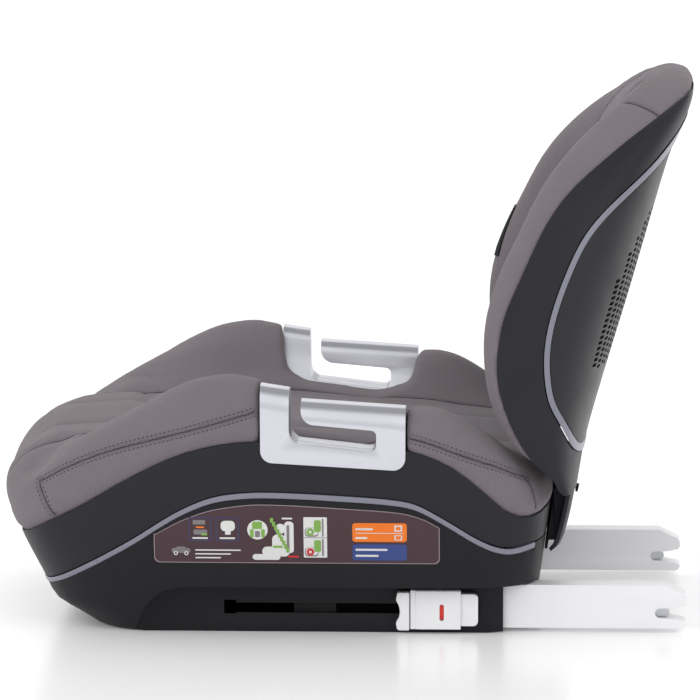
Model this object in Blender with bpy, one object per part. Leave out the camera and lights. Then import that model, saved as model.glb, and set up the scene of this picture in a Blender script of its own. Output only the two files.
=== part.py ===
"""Booster seat with a low, reclining backrest and two sliding lower-anchor connectors.

Frame: metres, +Z up, the seat faces -Y, +X is the child's left. The origin is on the floor,
under the centre of the whole object. Every length is in metres unless its name says otherwise.
"""

import math

import bmesh
import bpy
import numpy as np
from mathutils import Matrix, Vector

# ---------------------------------------------------------------- driving dimensions

WALL = 0.003                    # moulded wall of the plastic shells
FLOOR = 0.0025                  # thickness of the tub's floor
GAP = 0.0004                    # gap between neighbouring pieces
FLAT_DEG = 0.5                  # faces that meet at less than this are one face
SIDES = (("left", 1.0), ("right", -1.0))

STATION = 0.012                 # length of a facet along the side curves
RING_POINTS = 48                # points round a plan outline of the base
BODY_MIDDLE_Y = -0.03           # where the front and rear halves of the outline meet
FRONT_POWER, REAR_POWER = 5.5, 7.0   # how square the plan outline's corners are

STRIP_HALF = 0.0024             # half the height of the grey trim strip
STRIP_PROUD = 0.0008
STRIP_REAR_END_Y = 0.156
STRIP_JOINT_Y = -0.198          # where the front strip meets a side strip
STRIP_FRONT_Z = 0.040
BORDER_FRONT_Z = 0.090

RECESS_PLANE_X = 0.157          # sunk panel low on each side, with the slider's slot in it
RECESS_TOP_Z = 0.0405
SLOT = dict(y0=-0.097, y1=0.106, z0=0.0155, z1=0.0237)

CONNECTOR_CENTRE_X = 0.140      # the two anchor bars of a car are 280 mm apart
CONNECTOR_WIDTH = 0.025
CONNECTOR_Z = (0.0036, 0.0390)
CONNECTOR_FRONT_Y, CONNECTOR_TIP_Y = -0.005, 0.2805
MOUTH_Y, MOUTH_INNER_X, MOUTH_TOP_Z = 0.131, 0.1265, 0.0400   # where a connector leaves the tub
NOTCH_CENTRE = (0.2590, 0.0160)  # y, z of the anchor bar's seat
NOTCH_RADIUS = 0.0042

GUIDE_OUTER_X = 0.2075
GUIDE_TOP_SLOPE = -0.154        # dz/dy of the armrest guide's top edge
GUIDE_FRONT_Y, GUIDE_REAR_Y = -0.0655, 0.0525
GUIDE_PARTING_X = 0.1890

HINGE_Y, HINGE_Z = 0.1735, 0.0850
HINGE_X = 0.075
HINGE_HALF = 0.010               # half the width of a hinge bracket
KNUCKLE_RADIUS = 0.0050
PIN_RADIUS = 0.0022

SLIDER_X = (0.1573, 0.1690)
SLIDER_Y, SLIDER_Z = (0.0554, 0.0968), (0.0044, 0.0366)
BUTTON_X = (0.1590, 0.1672)
BUTTON_Y, BUTTON_Z = (0.0915, 0.1107), (0.0070, 0.0334)
INDICATOR_Y, INDICATOR_Z = (0.0785, 0.0835), (0.0125, 0.0241)

TONGUE_HALF = 0.112              # half the width of the backrest's lower tongue
TONGUE_THICKNESS = 0.0035
POST_RADIUS = 0.0055
POSTS = ((0.085, -0.140), (-0.085, -0.140), (0.085, 0.070), (-0.085, 0.070))

# ---------------------------------------------------------------- colours

FINISHES = {
    "shell_black": ((0.035, 0.035, 0.040), 0.55, 0.0),
    "trim_grey": ((0.25, 0.25, 0.31), 0.45, 0.0),
    "fabric_grey": ((0.17, 0.15, 0.17), 0.95, 0.0),
    "guide_silver": ((0.62, 0.62, 0.64), 0.30, 0.9),
    "connector_white": ((0.83, 0.83, 0.85), 0.40, 0.0),
    "steel": ((0.55, 0.56, 0.58), 0.35, 1.0),
    "label_brown": ((0.075, 0.045, 0.050), 0.50, 0.0),
    "signal_red": ((0.80, 0.04, 0.01), 0.40, 0.0),
    "tag_black": ((0.02, 0.02, 0.025), 0.70, 0.0),
}


def material(name):
    found = bpy.data.materials.get(name)
    if found:
        return found
    colour, roughness, metallic = FINISHES[name]
    made = bpy.data.materials.new(name)
    made.use_nodes = True
    shader = made.node_tree.nodes["Principled BSDF"]
    shader.inputs["Base Color"].default_value = (*colour, 1.0)
    shader.inputs["Roughness"].default_value = roughness
    shader.inputs["Metallic"].default_value = metallic
    made.diffuse_color = (*colour, 1.0)
    return made


# ---------------------------------------------------------------- small tools

def smooth(points):
    """A smooth curve through (position, value) points that never overshoots them."""
    xs = np.array([p[0] for p in points], float)
    ys = np.array([p[1] for p in points], float)
    step = np.diff(xs)
    slope = np.diff(ys) / step
    tangent = np.zeros(len(xs))
    tangent[0], tangent[-1] = slope[0], slope[-1]
    for i in range(1, len(xs) - 1):
        if slope[i - 1] * slope[i] > 0:
            before, after = 2 * step[i] + step[i - 1], step[i] + 2 * step[i - 1]
            tangent[i] = (before + after) / (before / slope[i - 1] + after / slope[i])

    def value(x):
        x = min(max(x, xs[0]), xs[-1])
        i = min(int(np.searchsorted(xs, x, side="right")) - 1, len(step) - 1)
        t = (x - xs[i]) / step[i]
        return float(
            ys[i] * (1 + 2 * t) * (1 - t) ** 2
            + ys[i + 1] * t * t * (3 - 2 * t)
            + step[i] * (tangent[i] * t * (1 - t) ** 2 - tangent[i + 1] * t * t * (1 - t))
        )

    return value


def stations(start, end):
    """Positions every STATION along Y between two ends, so that neighbours share the same facets."""
    first, last = math.ceil(start / STATION + 1e-6), math.floor(end / STATION - 1e-6)
    return [start] + [i * STATION for i in range(first, last + 1)] + [end]


def faceted(points):
    """A smooth curve as straight facets between the stations."""
    curve = smooth(points)

    def value(y):
        i = math.floor(y / STATION)
        t = y / STATION - i
        return curve(i * STATION) * (1 - t) + curve((i + 1) * STATION) * t

    return value


def samples(start, end, count):
    return [start + (end - start) * i / (count - 1) for i in range(count)]


def arc(centre, radius, start_deg, end_deg, count=5):
    angles = [math.radians(a) for a in samples(start_deg, end_deg, count)]
    return [(centre[0] + radius * math.cos(a), centre[1] + radius * math.sin(a)) for a in angles]


def grown(outline, distance):
    """The closed outline with each point moved outwards by distance; it runs anticlockwise."""
    moved = []
    for i, point in enumerate(outline):
        back = Vector(point) - Vector(outline[i - 1])
        ahead = Vector(outline[(i + 1) % len(outline)]) - Vector(point)
        normal_back = Vector((back.y, -back.x)).normalized()
        normal_ahead = Vector((ahead.y, -ahead.x)).normalized()
        middle = (normal_back + normal_ahead).normalized()
        reach = distance / max(middle.dot(normal_ahead), 0.5)
        moved.append(tuple(Vector(point) + middle * reach))
    return moved


def build(name, bm, finish):
    """Makes the named object from a bmesh, with its normals facing out."""
    bmesh.ops.remove_doubles(bm, verts=bm.verts, dist=1e-6)
    bmesh.ops.recalc_face_normals(bm, faces=bm.faces)
    mesh = bpy.data.meshes.new(name)
    bm.to_mesh(mesh)
    bm.free()
    obj = bpy.data.objects.new(name, mesh)
    bpy.context.scene.collection.objects.link(obj)
    if finish:
        obj.data.materials.append(material(finish))
    return obj


def loft(name, rings, finish=None):
    """A closed solid through rings of the same number of points, with both ends capped."""
    bm = bmesh.new()
    made = [[bm.verts.new(p) for p in ring] for ring in rings]
    for lower, upper in zip(made, made[1:]):
        for i in range(len(lower)):
            j = (i + 1) % len(lower)
            bm.faces.new((lower[i], lower[j], upper[j], upper[i]))
    bm.faces.new(made[0])
    bm.faces.new(made[-1])
    if len(rings) > 2:
        bmesh.ops.triangulate(bm, faces=bm.faces)
    return build(name, bm, finish)


def prism_x(name, outline, x0, x1, finish=None):
    """A (y, z) outline extruded along X."""
    return loft(name, [[(x, y, z) for y, z in outline] for x in (x0, x1)], finish)


def prism_y(name, outline, y0, y1, finish=None):
    """An (x, z) outline extruded along Y."""
    return loft(name, [[(x, y, z) for x, z in outline] for y in (y0, y1)], finish)


def prism_z(name, outline, z0, z1, finish=None):
    """An (x, y) outline extruded along Z."""
    return loft(name, [[(x, y, z) for x, y in outline] for z in (z0, z1)], finish)


def box(name, low, high, finish=None):
    outline = [(low[0], low[1]), (high[0], low[1]), (high[0], high[1]), (low[0], high[1])]
    return prism_z(name, outline, low[2], high[2], finish)


def cylinder_x(name, centre, radius, length, finish=None, sides=16):
    bm = bmesh.new()
    placed = Matrix.Translation(centre) @ Matrix.Rotation(math.pi / 2, 4, "Y")
    bmesh.ops.create_cone(
        bm, cap_ends=True, segments=sides, radius1=radius, radius2=radius, depth=length, matrix=placed
    )
    return build(name, bm, finish)


def combine(obj, other, operation):
    """Applies a Boolean with another object, which is used up."""
    modifier = obj.modifiers.new(operation, "BOOLEAN")
    modifier.operation = operation
    modifier.solver = "EXACT"
    modifier.object = other
    bpy.context.view_layer.update()
    graph = bpy.context.evaluated_depsgraph_get()
    mesh = bpy.data.meshes.new_from_object(obj.evaluated_get(graph))
    obj.modifiers.clear()
    old = obj.data
    obj.data = mesh
    bpy.data.meshes.remove(old)
    bpy.data.meshes.remove(other.data)
    return obj


def cut(obj, *cutters):
    for cutter in cutters:
        combine(obj, cutter, "DIFFERENCE")
    return obj


def join(obj, *others):
    for other in others:
        combine(obj, other, "UNION")
    return obj


def keep(obj, region):
    return combine(obj, region, "INTERSECT")


def tidied(obj, finish):
    """The object's largest body, without the needless edges that Booleans leave, in its finish."""
    bm = bmesh.new()
    bm.from_mesh(obj.data)
    unseen, bodies = set(bm.verts), []
    while unseen:
        queue = [unseen.pop()]
        body = list(queue)
        while queue:
            for edge in queue.pop().link_edges:
                for vert in edge.verts:
                    if vert in unseen:
                        unseen.remove(vert)
                        queue.append(vert)
                        body.append(vert)
        bodies.append(body)
    bodies.sort(key=len)
    bmesh.ops.delete(bm, geom=[vert for body in bodies[:-1] for vert in body], context="VERTS")
    bmesh.ops.dissolve_limit(bm, angle_limit=math.radians(FLAT_DEG), verts=bm.verts, edges=bm.edges)
    bmesh.ops.triangulate(bm, faces=bm.faces)
    bm.to_mesh(obj.data)
    bm.free()
    obj.data.materials.clear()
    obj.data.materials.append(material(finish))
    return obj


def soften(obj, width, segments=2, angle_deg=40):
    """Rounds the sharp edges of a simple solid."""
    bevel = obj.modifiers.new("edges", "BEVEL")
    bevel.width = width
    bevel.segments = segments
    bevel.limit_method = "ANGLE"
    bevel.angle_limit = math.radians(angle_deg)
    return obj


def mirrored(obj, name):
    """A copy of the object on the other side of the seat."""
    bm = bmesh.new()
    bm.from_mesh(obj.data)
    bmesh.ops.scale(bm, vec=(-1, 1, 1), verts=bm.verts)
    bmesh.ops.reverse_faces(bm, faces=bm.faces)
    mesh = bpy.data.meshes.new(name)
    bm.to_mesh(mesh)
    bm.free()
    copy = bpy.data.objects.new(name, mesh)
    bpy.context.scene.collection.objects.link(copy)
    copy.data.materials.clear()
    for slot in obj.data.materials:
        copy.data.materials.append(slot)
    for modifier in obj.modifiers:
        soften(copy, modifier.width, modifier.segments, math.degrees(modifier.angle_limit))
    return copy


def both_sides(stem, make):
    """Makes STEM_left with the given function, and its mirror image STEM_right."""
    left = make(f"{stem}_left")
    return left, mirrored(left, f"{stem}_right")


# ---------------------------------------------------------------- the base's outer form

half_width = smooth([(0, 0.166), (0.01, 0.170), (0.04, 0.181), (0.08, 0.195), (0.12, 0.203), (0.17, 0.206)])
front_y = smooth(
    [(0, -0.207), (0.012, -0.226), (0.022, -0.242), (0.04, -0.251), (0.085, -0.272), (0.125, -0.284),
     (0.17, -0.284)]
)
rear_y = smooth([(0, 0.152), (0.02, 0.158), (0.045, 0.162), (0.075, 0.166), (0.11, 0.170), (0.17, 0.171)])

# The edge between the black side shell and the cover, and the middle of the grey strip, seen from the side.
border_z = faceted(
    [(-0.262, BORDER_FRONT_Z), (-0.244, 0.0935), (-0.215, 0.107), (-0.164, 0.137), (-0.121, 0.1555),
     (-0.080, 0.163), (-0.030, 0.1645), (0.054, 0.157), (0.089, 0.144), (0.120, 0.121), (0.141, 0.1055),
     (0.156, 0.1045), (0.172, 0.111)]
)
strip_z = faceted(
    [(-0.238, STRIP_FRONT_Z), (-0.216, 0.0515), (-0.174, 0.076), (-0.122, 0.108), (-0.098, 0.1165),
     (-0.065, 0.1195), (0.008, 0.1165), (0.055, 0.1125), (0.082, 0.100), (0.118, 0.080), (0.136, 0.0745),
     (0.156, 0.079)]
)


def body_point(angle, z, inset=0.0):
    """The point of the base's plan outline in this direction, at this height."""
    half = half_width(z) - inset
    behind = math.sin(angle) > 0
    reach = (rear_y(z) - BODY_MIDDLE_Y if behind else BODY_MIDDLE_Y - front_y(z)) - inset
    power = REAR_POWER if behind else FRONT_POWER
    size = (abs(math.cos(angle) / half) ** power + abs(math.sin(angle) / reach) ** power) ** (-1 / power)
    return (size * math.cos(angle), BODY_MIDDLE_Y + size * math.sin(angle), z)


def ring_angles():
    return [2 * math.pi * (i + 0.5) / RING_POINTS for i in range(RING_POINTS)]


def body_solid(name, inset, levels):
    return loft(name, [[body_point(a, z, inset) for a in ring_angles()] for z in levels])


def body_skin(name, outer_inset, inner_inset, levels):
    """The base's outer form as a tube between two insets."""
    skin = body_solid(name, outer_inset, levels)
    lower, upper = levels[0] - 0.01, levels[-1] + 0.01
    return cut(skin, body_solid("inside", inner_inset, [lower, *levels, upper]))


def under(curve, y0, y1, floor, offset=0.0):
    """The (y, z) outline of everything below a curve."""
    return [(y0, floor), (y1, floor)] + [(y, curve(y) + offset) for y in reversed(stations(y0, y1))]


# ---------------------------------------------------------------- lower base

def recess_outline(margin=0.0):
    """The side recess: an arch at the front, open at the floor and at the rear."""
    top = RECESS_TOP_Z + margin
    front = [(-0.1695, 0.0), (-0.1640, 0.016), (-0.1550, 0.029), (-0.1440, 0.037)]
    front = [(y - margin, z + margin if z else z) for y, z in front]
    return [(front[0][0], -0.02), *front, (-0.130, top), (0.20, top), (0.20, -0.02)]


def side_room(side, margin=0.0):
    """The room left free beside and behind the tub's side wall, for the slider and the connector."""
    recess = prism_x("recess", recess_outline(margin), side * (RECESS_PLANE_X - margin), side * 0.26)
    near, far = sorted((side * (MOUTH_INNER_X - margin), side * 0.20))
    corner = box("corner", (near, MOUTH_Y - margin, -0.02), (far, 0.20, RECESS_TOP_Z + margin))
    return join(recess, corner)


def slot_outline():
    """The slider's slot, wider at its front end."""
    y0, y1, z0, z1 = SLOT["y0"], SLOT["y1"], SLOT["z0"], SLOT["z1"]
    wide = y0 + 0.010
    return [(y0, z0 - 0.001), (wide, z0 - 0.001), (wide, z0), (y1, z0), (y1, z1), (wide, z1),
            (wide, z1 + 0.0022), (y0, z1 + 0.0022)]


def base_shell():
    """The lower tub: floor, walls, the two side recesses, their slots and the connectors' openings."""
    levels = [0, 0.006, 0.012, 0.022, 0.04, 0.07, 0.10, 0.13]
    tub = body_solid("base_shell", 0.0, levels)
    cavity = body_solid("cavity", WALL, [FLOOR, 0.012, 0.022, 0.04, 0.07, 0.10, 0.14])
    for _, side in SIDES:
        cut(tub, side_room(side))
        cut(cavity, side_room(side, WALL))
    cut(tub, cavity)
    end = STRIP_REAR_END_Y + GAP
    rim = [(y, strip_z(y) - STRIP_HALF - GAP) for y in stations(-0.30, end)]
    rim += [(y, strip_z(y) + STRIP_HALF - GAP / 2) for y in stations(end, 0.20)]
    cut(tub, prism_x("above", rim + [(0.20, 0.20), (-0.30, 0.20)], -0.3, 0.3))
    for _, side in SIDES:
        near, far = sorted((side * (MOUTH_INNER_X + 0.0002), side * (RECESS_PLANE_X - WALL - 0.0004)))
        cut(tub, box("mouth", (near, MOUTH_Y - 0.010, 0.0032), (far, MOUTH_Y + 0.010, MOUTH_TOP_Z)))
        cut(tub, prism_x("slot", slot_outline(), side * (RECESS_PLANE_X - 2 * WALL), side * 0.16))
    for x, y in POSTS:
        join(tub, rod("boss", (x, y, 0.0), (x, y, 0.0052), 0.0062))
        cut(tub, rod("head_room", (x, y, -0.001), (x, y, 0.0028), 0.0039), rod("hole", (x, y, -0.001),
                                                                            (x, y, 0.006), 0.0018))
    return tidied(tub, "shell_black")


def rails():
    """Steel guide angles that the connectors slide along, and the tube that ties them together."""
    inner = CONNECTOR_CENTRE_X - CONNECTOR_WIDTH / 2 - 0.0006
    top = CONNECTOR_Z[1] + 0.0006
    plate = 0.0025
    section = [(inner - plate, 0.0029), (inner, 0.0029), (inner, top), (inner + 0.026, top),
               (inner + 0.026, top + plate), (inner - plate, top + plate)]

    def rail(name):
        return prism_y(name, section, -0.150, 0.098, "steel")

    both_sides("guide_rail", rail)
    cylinder_x("rail_crossbar", (0, 0.020, 0.024), 0.008, 2 * (inner - plate - GAP), "steel")


# ---------------------------------------------------------------- upper shell and trims

PAN_LINE = ((0.1665, 0.0920), (0.1300, 0.0920), (0.0950, 0.1230), (-0.1700, 0.1230), (-0.2350, 0.0800),
            (-0.2650, 0.0800))
PAN_THICKNESS = 0.004


SHELL_LEVELS = (0.030, 0.040, 0.055, 0.070, 0.085, 0.100, 0.115, 0.130, 0.150, 0.180)


def pan_outline():
    """The seat pan's (y, z) outline: a bent plate under the cushion."""
    top = [(y, z + PAN_THICKNESS) for y, z in PAN_LINE]
    return list(reversed(PAN_LINE)) + top


def seat_shell():
    """The black side skirt with the seat pan inside it."""
    levels = list(SHELL_LEVELS)
    shell = body_skin("seat_shell", 0.0, WALL, levels)
    pan = prism_x("pan", pan_outline(), -0.22, 0.22)
    keep(pan, body_solid("pan_edge", WALL / 2, levels))
    for x, y in POSTS:
        join(pan, cut(rod("post", (x, y, 0.0056), (x, y, 0.1240), POST_RADIUS),
                      rod("hole", (x, y, 0.0), (x, y, 0.0240), 0.0018)))
    lower = [(y, strip_z(y) + STRIP_HALF + GAP) for y in stations(-0.30, 0.20)]
    upper = [(y, border_z(y)) for y in reversed(stations(-0.30, 0.20))]
    keep(shell, prism_x("skirt", lower + upper, -0.3, 0.3))
    join(shell, pan)
    for _, side in SIDES:
        seat = prism_x("guide_seat", grown(guide_block_outline(), GAP), side * 0.15, side * 0.30)
        cut(shell, seat)
    return tidied(shell, "shell_black")


def strip_band(y0, y1):
    low = [(y, strip_z(y) - STRIP_HALF) for y in stations(y0, y1)]
    high = [(y, strip_z(y) + STRIP_HALF) for y in reversed(stations(y0, y1))]
    return low + high


def trims():
    """Grey strips between the lower tub and the side skirt: one round the front and one on each side."""
    levels = [0.030, 0.045, 0.06, 0.075, 0.09, 0.105, 0.125]
    for name, y0, y1, x0, x1 in (
        ("front_trim", -0.30, STRIP_JOINT_Y - GAP, -0.3, 0.3),
        ("side_trim_left", STRIP_JOINT_Y + GAP, STRIP_REAR_END_Y, 0.0, 0.3),
        ("side_trim_right", STRIP_JOINT_Y + GAP, STRIP_REAR_END_Y, -0.3, 0.0),
    ):
        trim = body_skin(name, -STRIP_PROUD, WALL, levels)
        keep(trim, prism_x("band", strip_band(y0, y1), x0, x1))
        tidied(trim, "trim_grey")


def label_outline():
    """The information label's outline: flat below, arched above."""
    crest = smooth([(-0.150, 0.0865), (-0.128, 0.0985), (-0.100, 0.1080), (-0.065, 0.1120), (0.010, 0.1085),
                    (0.048, 0.1055), (0.066, 0.1005), (0.081, 0.0925)])
    lower_left = arc((-0.146, 0.068), 0.004, 180, 270, 4)
    lower_right = arc((0.0745, 0.0665), 0.004, 270, 360, 4)
    upper = [(y, crest(y)) for y in samples(0.0785, -0.150, 16)]
    return lower_left + lower_right + upper


def labels():
    """Thin printed information plates below the grey strip."""
    levels = [0.055, 0.07, 0.085, 0.10, 0.12]
    for name, side in SIDES:
        plate = body_skin(f"info_label_{name}", -0.0009, -0.0004, levels)
        near, far = sorted((side * 0.1, side * 0.3))
        keep(plate, prism_x("label", label_outline(), near, far))
        tidied(plate, "label_brown")


# ---------------------------------------------------------------- armrest belt guides

def guide_top_z(y):
    return 0.2090 + GUIDE_TOP_SLOPE * (y - GUIDE_FRONT_Y)


def guide_block_outline():
    """The guide's outline without its slot, seen from the side, anticlockwise."""
    low_front = arc((-0.0545, 0.1565), 0.0100, 180, 265, 5)
    low_rear = arc((0.0425, 0.1510), 0.0100, 275, 360, 5)
    top = [(GUIDE_REAR_Y, 0.230), (GUIDE_FRONT_Y + 0.0005, 0.230)]
    return low_front + low_rear + top


def guide_slot_outline():
    """The belt's way in: down between the front post and the bar, then back under the bar."""
    post = [(-0.0415, 0.240), (-0.0415, 0.1730)]
    floor = arc((-0.0315, 0.1715), 0.0095, 190, 262, 4) + [(0.0220, 0.1558)]
    back = arc((0.0235, 0.1615), 0.0055, 285, 360, 4) + arc((0.0245, 0.1690), 0.0045, 0, 90, 4)
    bar = arc((-0.0205, 0.1890), 0.0115, 265, 180, 5) + [(-0.0322, 0.240)]
    return post + floor + back + bar


def guide_section(margin=0.0):
    """The guide's (x, z) section at its front end: an upright outer face, a rolled top, a flared inner face."""
    top, outer = 0.2090 + margin, GUIDE_OUTER_X + margin
    roll_out = arc((outer - 0.012, top - 0.012), 0.012, 0, 90, 5)
    roll_in = arc((0.1830 - margin, top - 0.011), 0.011, 90, 170, 5)
    inner = [(0.1690 - margin, 0.1850), (0.1610 - margin, 0.1650), (0.1500 - margin, 0.1450)]
    return [(0.1440 - margin, 0.1200), (outer, 0.1200)] + roll_out + roll_in + inner


def guide_form(name, margin=0.0):
    """The guide's section swept along its sloping top edge."""
    y0, y1 = GUIDE_FRONT_Y - 0.02, GUIDE_REAR_Y + 0.02
    rings = [
        [(x, y, z + GUIDE_TOP_SLOPE * (y - GUIDE_FRONT_Y)) for x, z in guide_section(margin)] for y in (y0, y1)
    ]
    return loft(name, rings)


def guide_half(name, x0, x1, pocket_from, pocket_to):
    """One half of the clamshell guide, hollow on the side of the parting plane."""
    outline = guide_block_outline()
    half = prism_x(name, outline, x0, x1)
    keep(half, guide_form("form"))
    slot = prism_x("slot", guide_slot_outline(), 0.10, 0.26)
    wall = 0.0022
    hollow = prism_x("hollow", grown(outline, -wall), pocket_from, pocket_to)
    keep(hollow, guide_form("hollow_form", -wall))
    cut(hollow, prism_x("slot_wall", grown(guide_slot_outline(), wall), 0.10, 0.26))
    cut(half, hollow, slot)
    return tidied(half, "guide_silver")


def belt_guides():
    both_sides("belt_guide", lambda name: guide_half(
        name, GUIDE_PARTING_X, 0.26, GUIDE_PARTING_X - 0.01, GUIDE_OUTER_X - 0.0022))
    both_sides("belt_guide_inner", lambda name: guide_half(
        name, 0.10, GUIDE_PARTING_X - GAP, 0.10, GUIDE_PARTING_X + 0.01))


# ---------------------------------------------------------------- seat cushion

seat_z = smooth(
    [(-0.286, 0.1120), (-0.275, 0.1230), (-0.262, 0.1330), (-0.240, 0.1420), (-0.200, 0.1510), (-0.150, 0.1580),
     (-0.050, 0.1570), (0.050, 0.1520), (0.130, 0.1460), (0.172, 0.1400)]
)
bolster_z = smooth(
    [(-0.286, 0.1120), (-0.262, 0.1250), (-0.240, 0.1400), (-0.207, 0.1645), (-0.1625, 0.1890),
     (-0.138, 0.2025), (-0.114, 0.2115), (-0.090, 0.2145), (-0.066, 0.2110), (0.052, 0.1910),
     (0.070, 0.1920), (0.084, 0.1900), (0.100, 0.1830), (0.120, 0.1700), (0.145, 0.1480), (0.172, 0.1280)]
)
BOLSTER_INNER_X, BOLSTER_CROWN_X = 0.112, 0.172
CENTRE_PANEL_X, CENTRE_PANEL_RISE = 0.062, 0.008
EDGE_ROUND_IN, EDGE_ROUND_DOWN = 0.030, 0.034


def ease(t):
    t = min(max(t, 0.0), 1.0)
    return t * t * (3 - 2 * t)


def cushion_top(x, y):
    """The height of the cushion's upper surface, before its rim is rounded."""
    low = seat_z(y)
    bolster = ease((abs(x) - BOLSTER_INNER_X) / (BOLSTER_CROWN_X - BOLSTER_INNER_X))
    crown = CENTRE_PANEL_RISE * (1 - ease(abs(x) / CENTRE_PANEL_X))
    return low + crown + max(bolster_z(y) - low, 0.0) * bolster


def cushion_ring(inset):
    """One ring of the cushion's top, this far in from its rim."""
    ring = []
    for angle in ring_angles():
        x, y, _ = body_point(angle, 0.150, inset)
        t = min(inset / EDGE_ROUND_IN, 1.0)
        drop = EDGE_ROUND_DOWN * (1 - math.sqrt(1 - (1 - t) ** 2))
        ring.append((x, y, cushion_top(x, y) - drop))
    return ring


def belt_way_outline():
    """The gap in the cushion's bolster, through which the belt comes to the guide."""
    floor = [(-0.0640, 0.1890), (-0.0590, 0.1730), (-0.0450, 0.1650), (0.0180, 0.1560), (0.0460, 0.1630),
             (0.0510, 0.1760)]
    return floor + [(0.0510, 0.2400), (-0.0640, 0.2400)]


def seat_cushion():
    """The padded seat with its raised side bolsters, sitting in the skirt and on the pan."""
    rim = cushion_ring(0.0)
    walls = []
    for share in (1.0, 0.66, 0.33):
        heights = [z + (0.075 - z) * share for _, _, z in rim]
        walls.append([body_point(a, z) for a, z in zip(ring_angles(), heights)])
    rings = walls + [cushion_ring(d) for d in (0.0, 0.004, 0.012, 0.022, 0.036, 0.052, 0.072, 0.100, 0.140)]
    cushion = loft("seat_cushion", rings)
    core = body_solid("core", WALL + GAP, [*SHELL_LEVELS, 0.26])
    above_pan = [(y, z + PAN_THICKNESS + GAP) for y, z in PAN_LINE]
    core_zone = above_pan + [(-0.30, 0.0844), (-0.30, 0.30), (0.20, 0.30), (0.20, 0.0964)]
    keep(core, prism_x("core_zone", core_zone, -0.3, 0.3))
    below = prism_x("below", under(border_z, -0.30, 0.20, 0.03, GAP), -0.3, 0.3)
    cut(below, core)
    cut(cushion, below)
    for _, side in SIDES:
        cut(cushion, prism_x("belt_way", belt_way_outline(), side * 0.118, side * 0.20))
    saddle = prism_x("saddle", grown(guide_block_outline(), 2 * GAP), 0.10, 0.30)
    keep(saddle, guide_form("saddle_form", 2 * GAP))
    other_saddle = mirrored(saddle, "other_saddle")
    cut(cushion, saddle, other_saddle)
    return tidied(cushion, "fabric_grey")


# ---------------------------------------------------------------- connectors

def connector_outline():
    """The connector housing's side outline with the open-ended notch for the anchor bar."""
    low, high = CONNECTOR_Z
    tip = CONNECTOR_TIP_Y
    nose = arc((tip - 0.0050, high - 0.0115), 0.0050, 55, 0, 4)
    upper_jaw = [(tip, 0.0245), (tip - 0.0015, 0.0225), (0.2680, 0.0203)]
    seat = arc(NOTCH_CENTRE, NOTCH_RADIUS, 90, 270, 7)
    lower_jaw = [(0.2660, 0.0116), (0.2755, 0.0100), (tip - 0.0005, 0.0088)]
    toe = arc((tip - 0.0045, low + 0.0045), 0.0045, 0, -90, 4)
    inside = [(CONNECTOR_FRONT_Y, low), (CONNECTOR_FRONT_Y, high - 0.0004), (0.1860, high - 0.0004)]
    return inside + [(0.1866, high), (0.2625, high)] + nose + upper_jaw + seat + lower_jaw + toe


def channel(name, outline, half):
    return prism_x(name, outline, CONNECTOR_CENTRE_X - half, CONNECTOR_CENTRE_X + half)


def connector_housing(name):
    """The white moulding, with the latch's channels and the socket for the slider's link in it."""
    x0 = CONNECTOR_CENTRE_X - CONNECTOR_WIDTH / 2
    housing = prism_x(name, connector_outline(), x0, x0 + CONNECTOR_WIDTH, "connector_white")
    pusher_room = [(0.2200, 0.0117), (0.2620, 0.0117), (0.2620, 0.0201), (0.2200, 0.0201)]
    hook_room = [(0.2410, 0.0250), (0.2570, 0.0197), (0.2772, 0.0197), (0.2772, 0.0362), (0.2410, 0.0362)]
    cut(housing, channel("pusher_room", pusher_room, PUSHER_HALF + 0.0004))
    cut(housing, channel("hook_room", hook_room, HOOK_HALF + 0.0007))
    cut(housing, link("link_room", GAP, 0.004))
    return housing


PUSHER_HALF, HOOK_HALF = 0.0042, 0.0025
HOOK_PIN = (0.2480, 0.0300)      # y, z of the claw's pivot
LINK_X, LINK_Y, LINK_Z = (0.1445, 0.1618), (0.0600, 0.0820), (0.0166, 0.0226)


def link(name, margin=0.0, extra=0.0, finish=None):
    """The steel link that ties the slider to the connector through the slot."""
    return box(name, (LINK_X[0] - margin, LINK_Y[0] - margin, LINK_Z[0] - margin),
               (LINK_X[1] + margin + extra, LINK_Y[1] + margin, LINK_Z[1] + margin), finish)


def claw(name):
    """The claw that drops behind the anchor bar; open, it lies in the upper jaw."""
    y, z = HOOK_PIN
    back = arc((y, z), 0.0046, 80, 260, 7)
    outline = back + [(y + 0.0020, z - 0.0038), (y + 0.0180, z - 0.0005), (y + 0.0215, z - 0.0020),
                      (y + 0.0235, z - 0.0046), (y + 0.0265, z - 0.0044), (y + 0.0268, z + 0.0010),
                      (y + 0.0235, z + 0.0046)]
    made = prism_x(name, outline, CONNECTOR_CENTRE_X - HOOK_HALF, CONNECTOR_CENTRE_X + HOOK_HALF, "steel")
    return cut(made, cylinder_x("eye", (CONNECTOR_CENTRE_X, y, z), 0.0018, 0.02, sides=12))


def pusher(name):
    """The sprung plunger that fills the notch until the anchor bar presses it in."""
    z = NOTCH_CENTRE[1]
    outline = [(0.2320, z - 0.0038), (0.2645, z - 0.0038), (0.2668, z - 0.0015), (0.2668, z + 0.0008),
               (0.2645, z + 0.0034), (0.2320, z + 0.0034)]
    return prism_x(name, outline, CONNECTOR_CENTRE_X - PUSHER_HALF, CONNECTOR_CENTRE_X + PUSHER_HALF, "steel")


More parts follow.
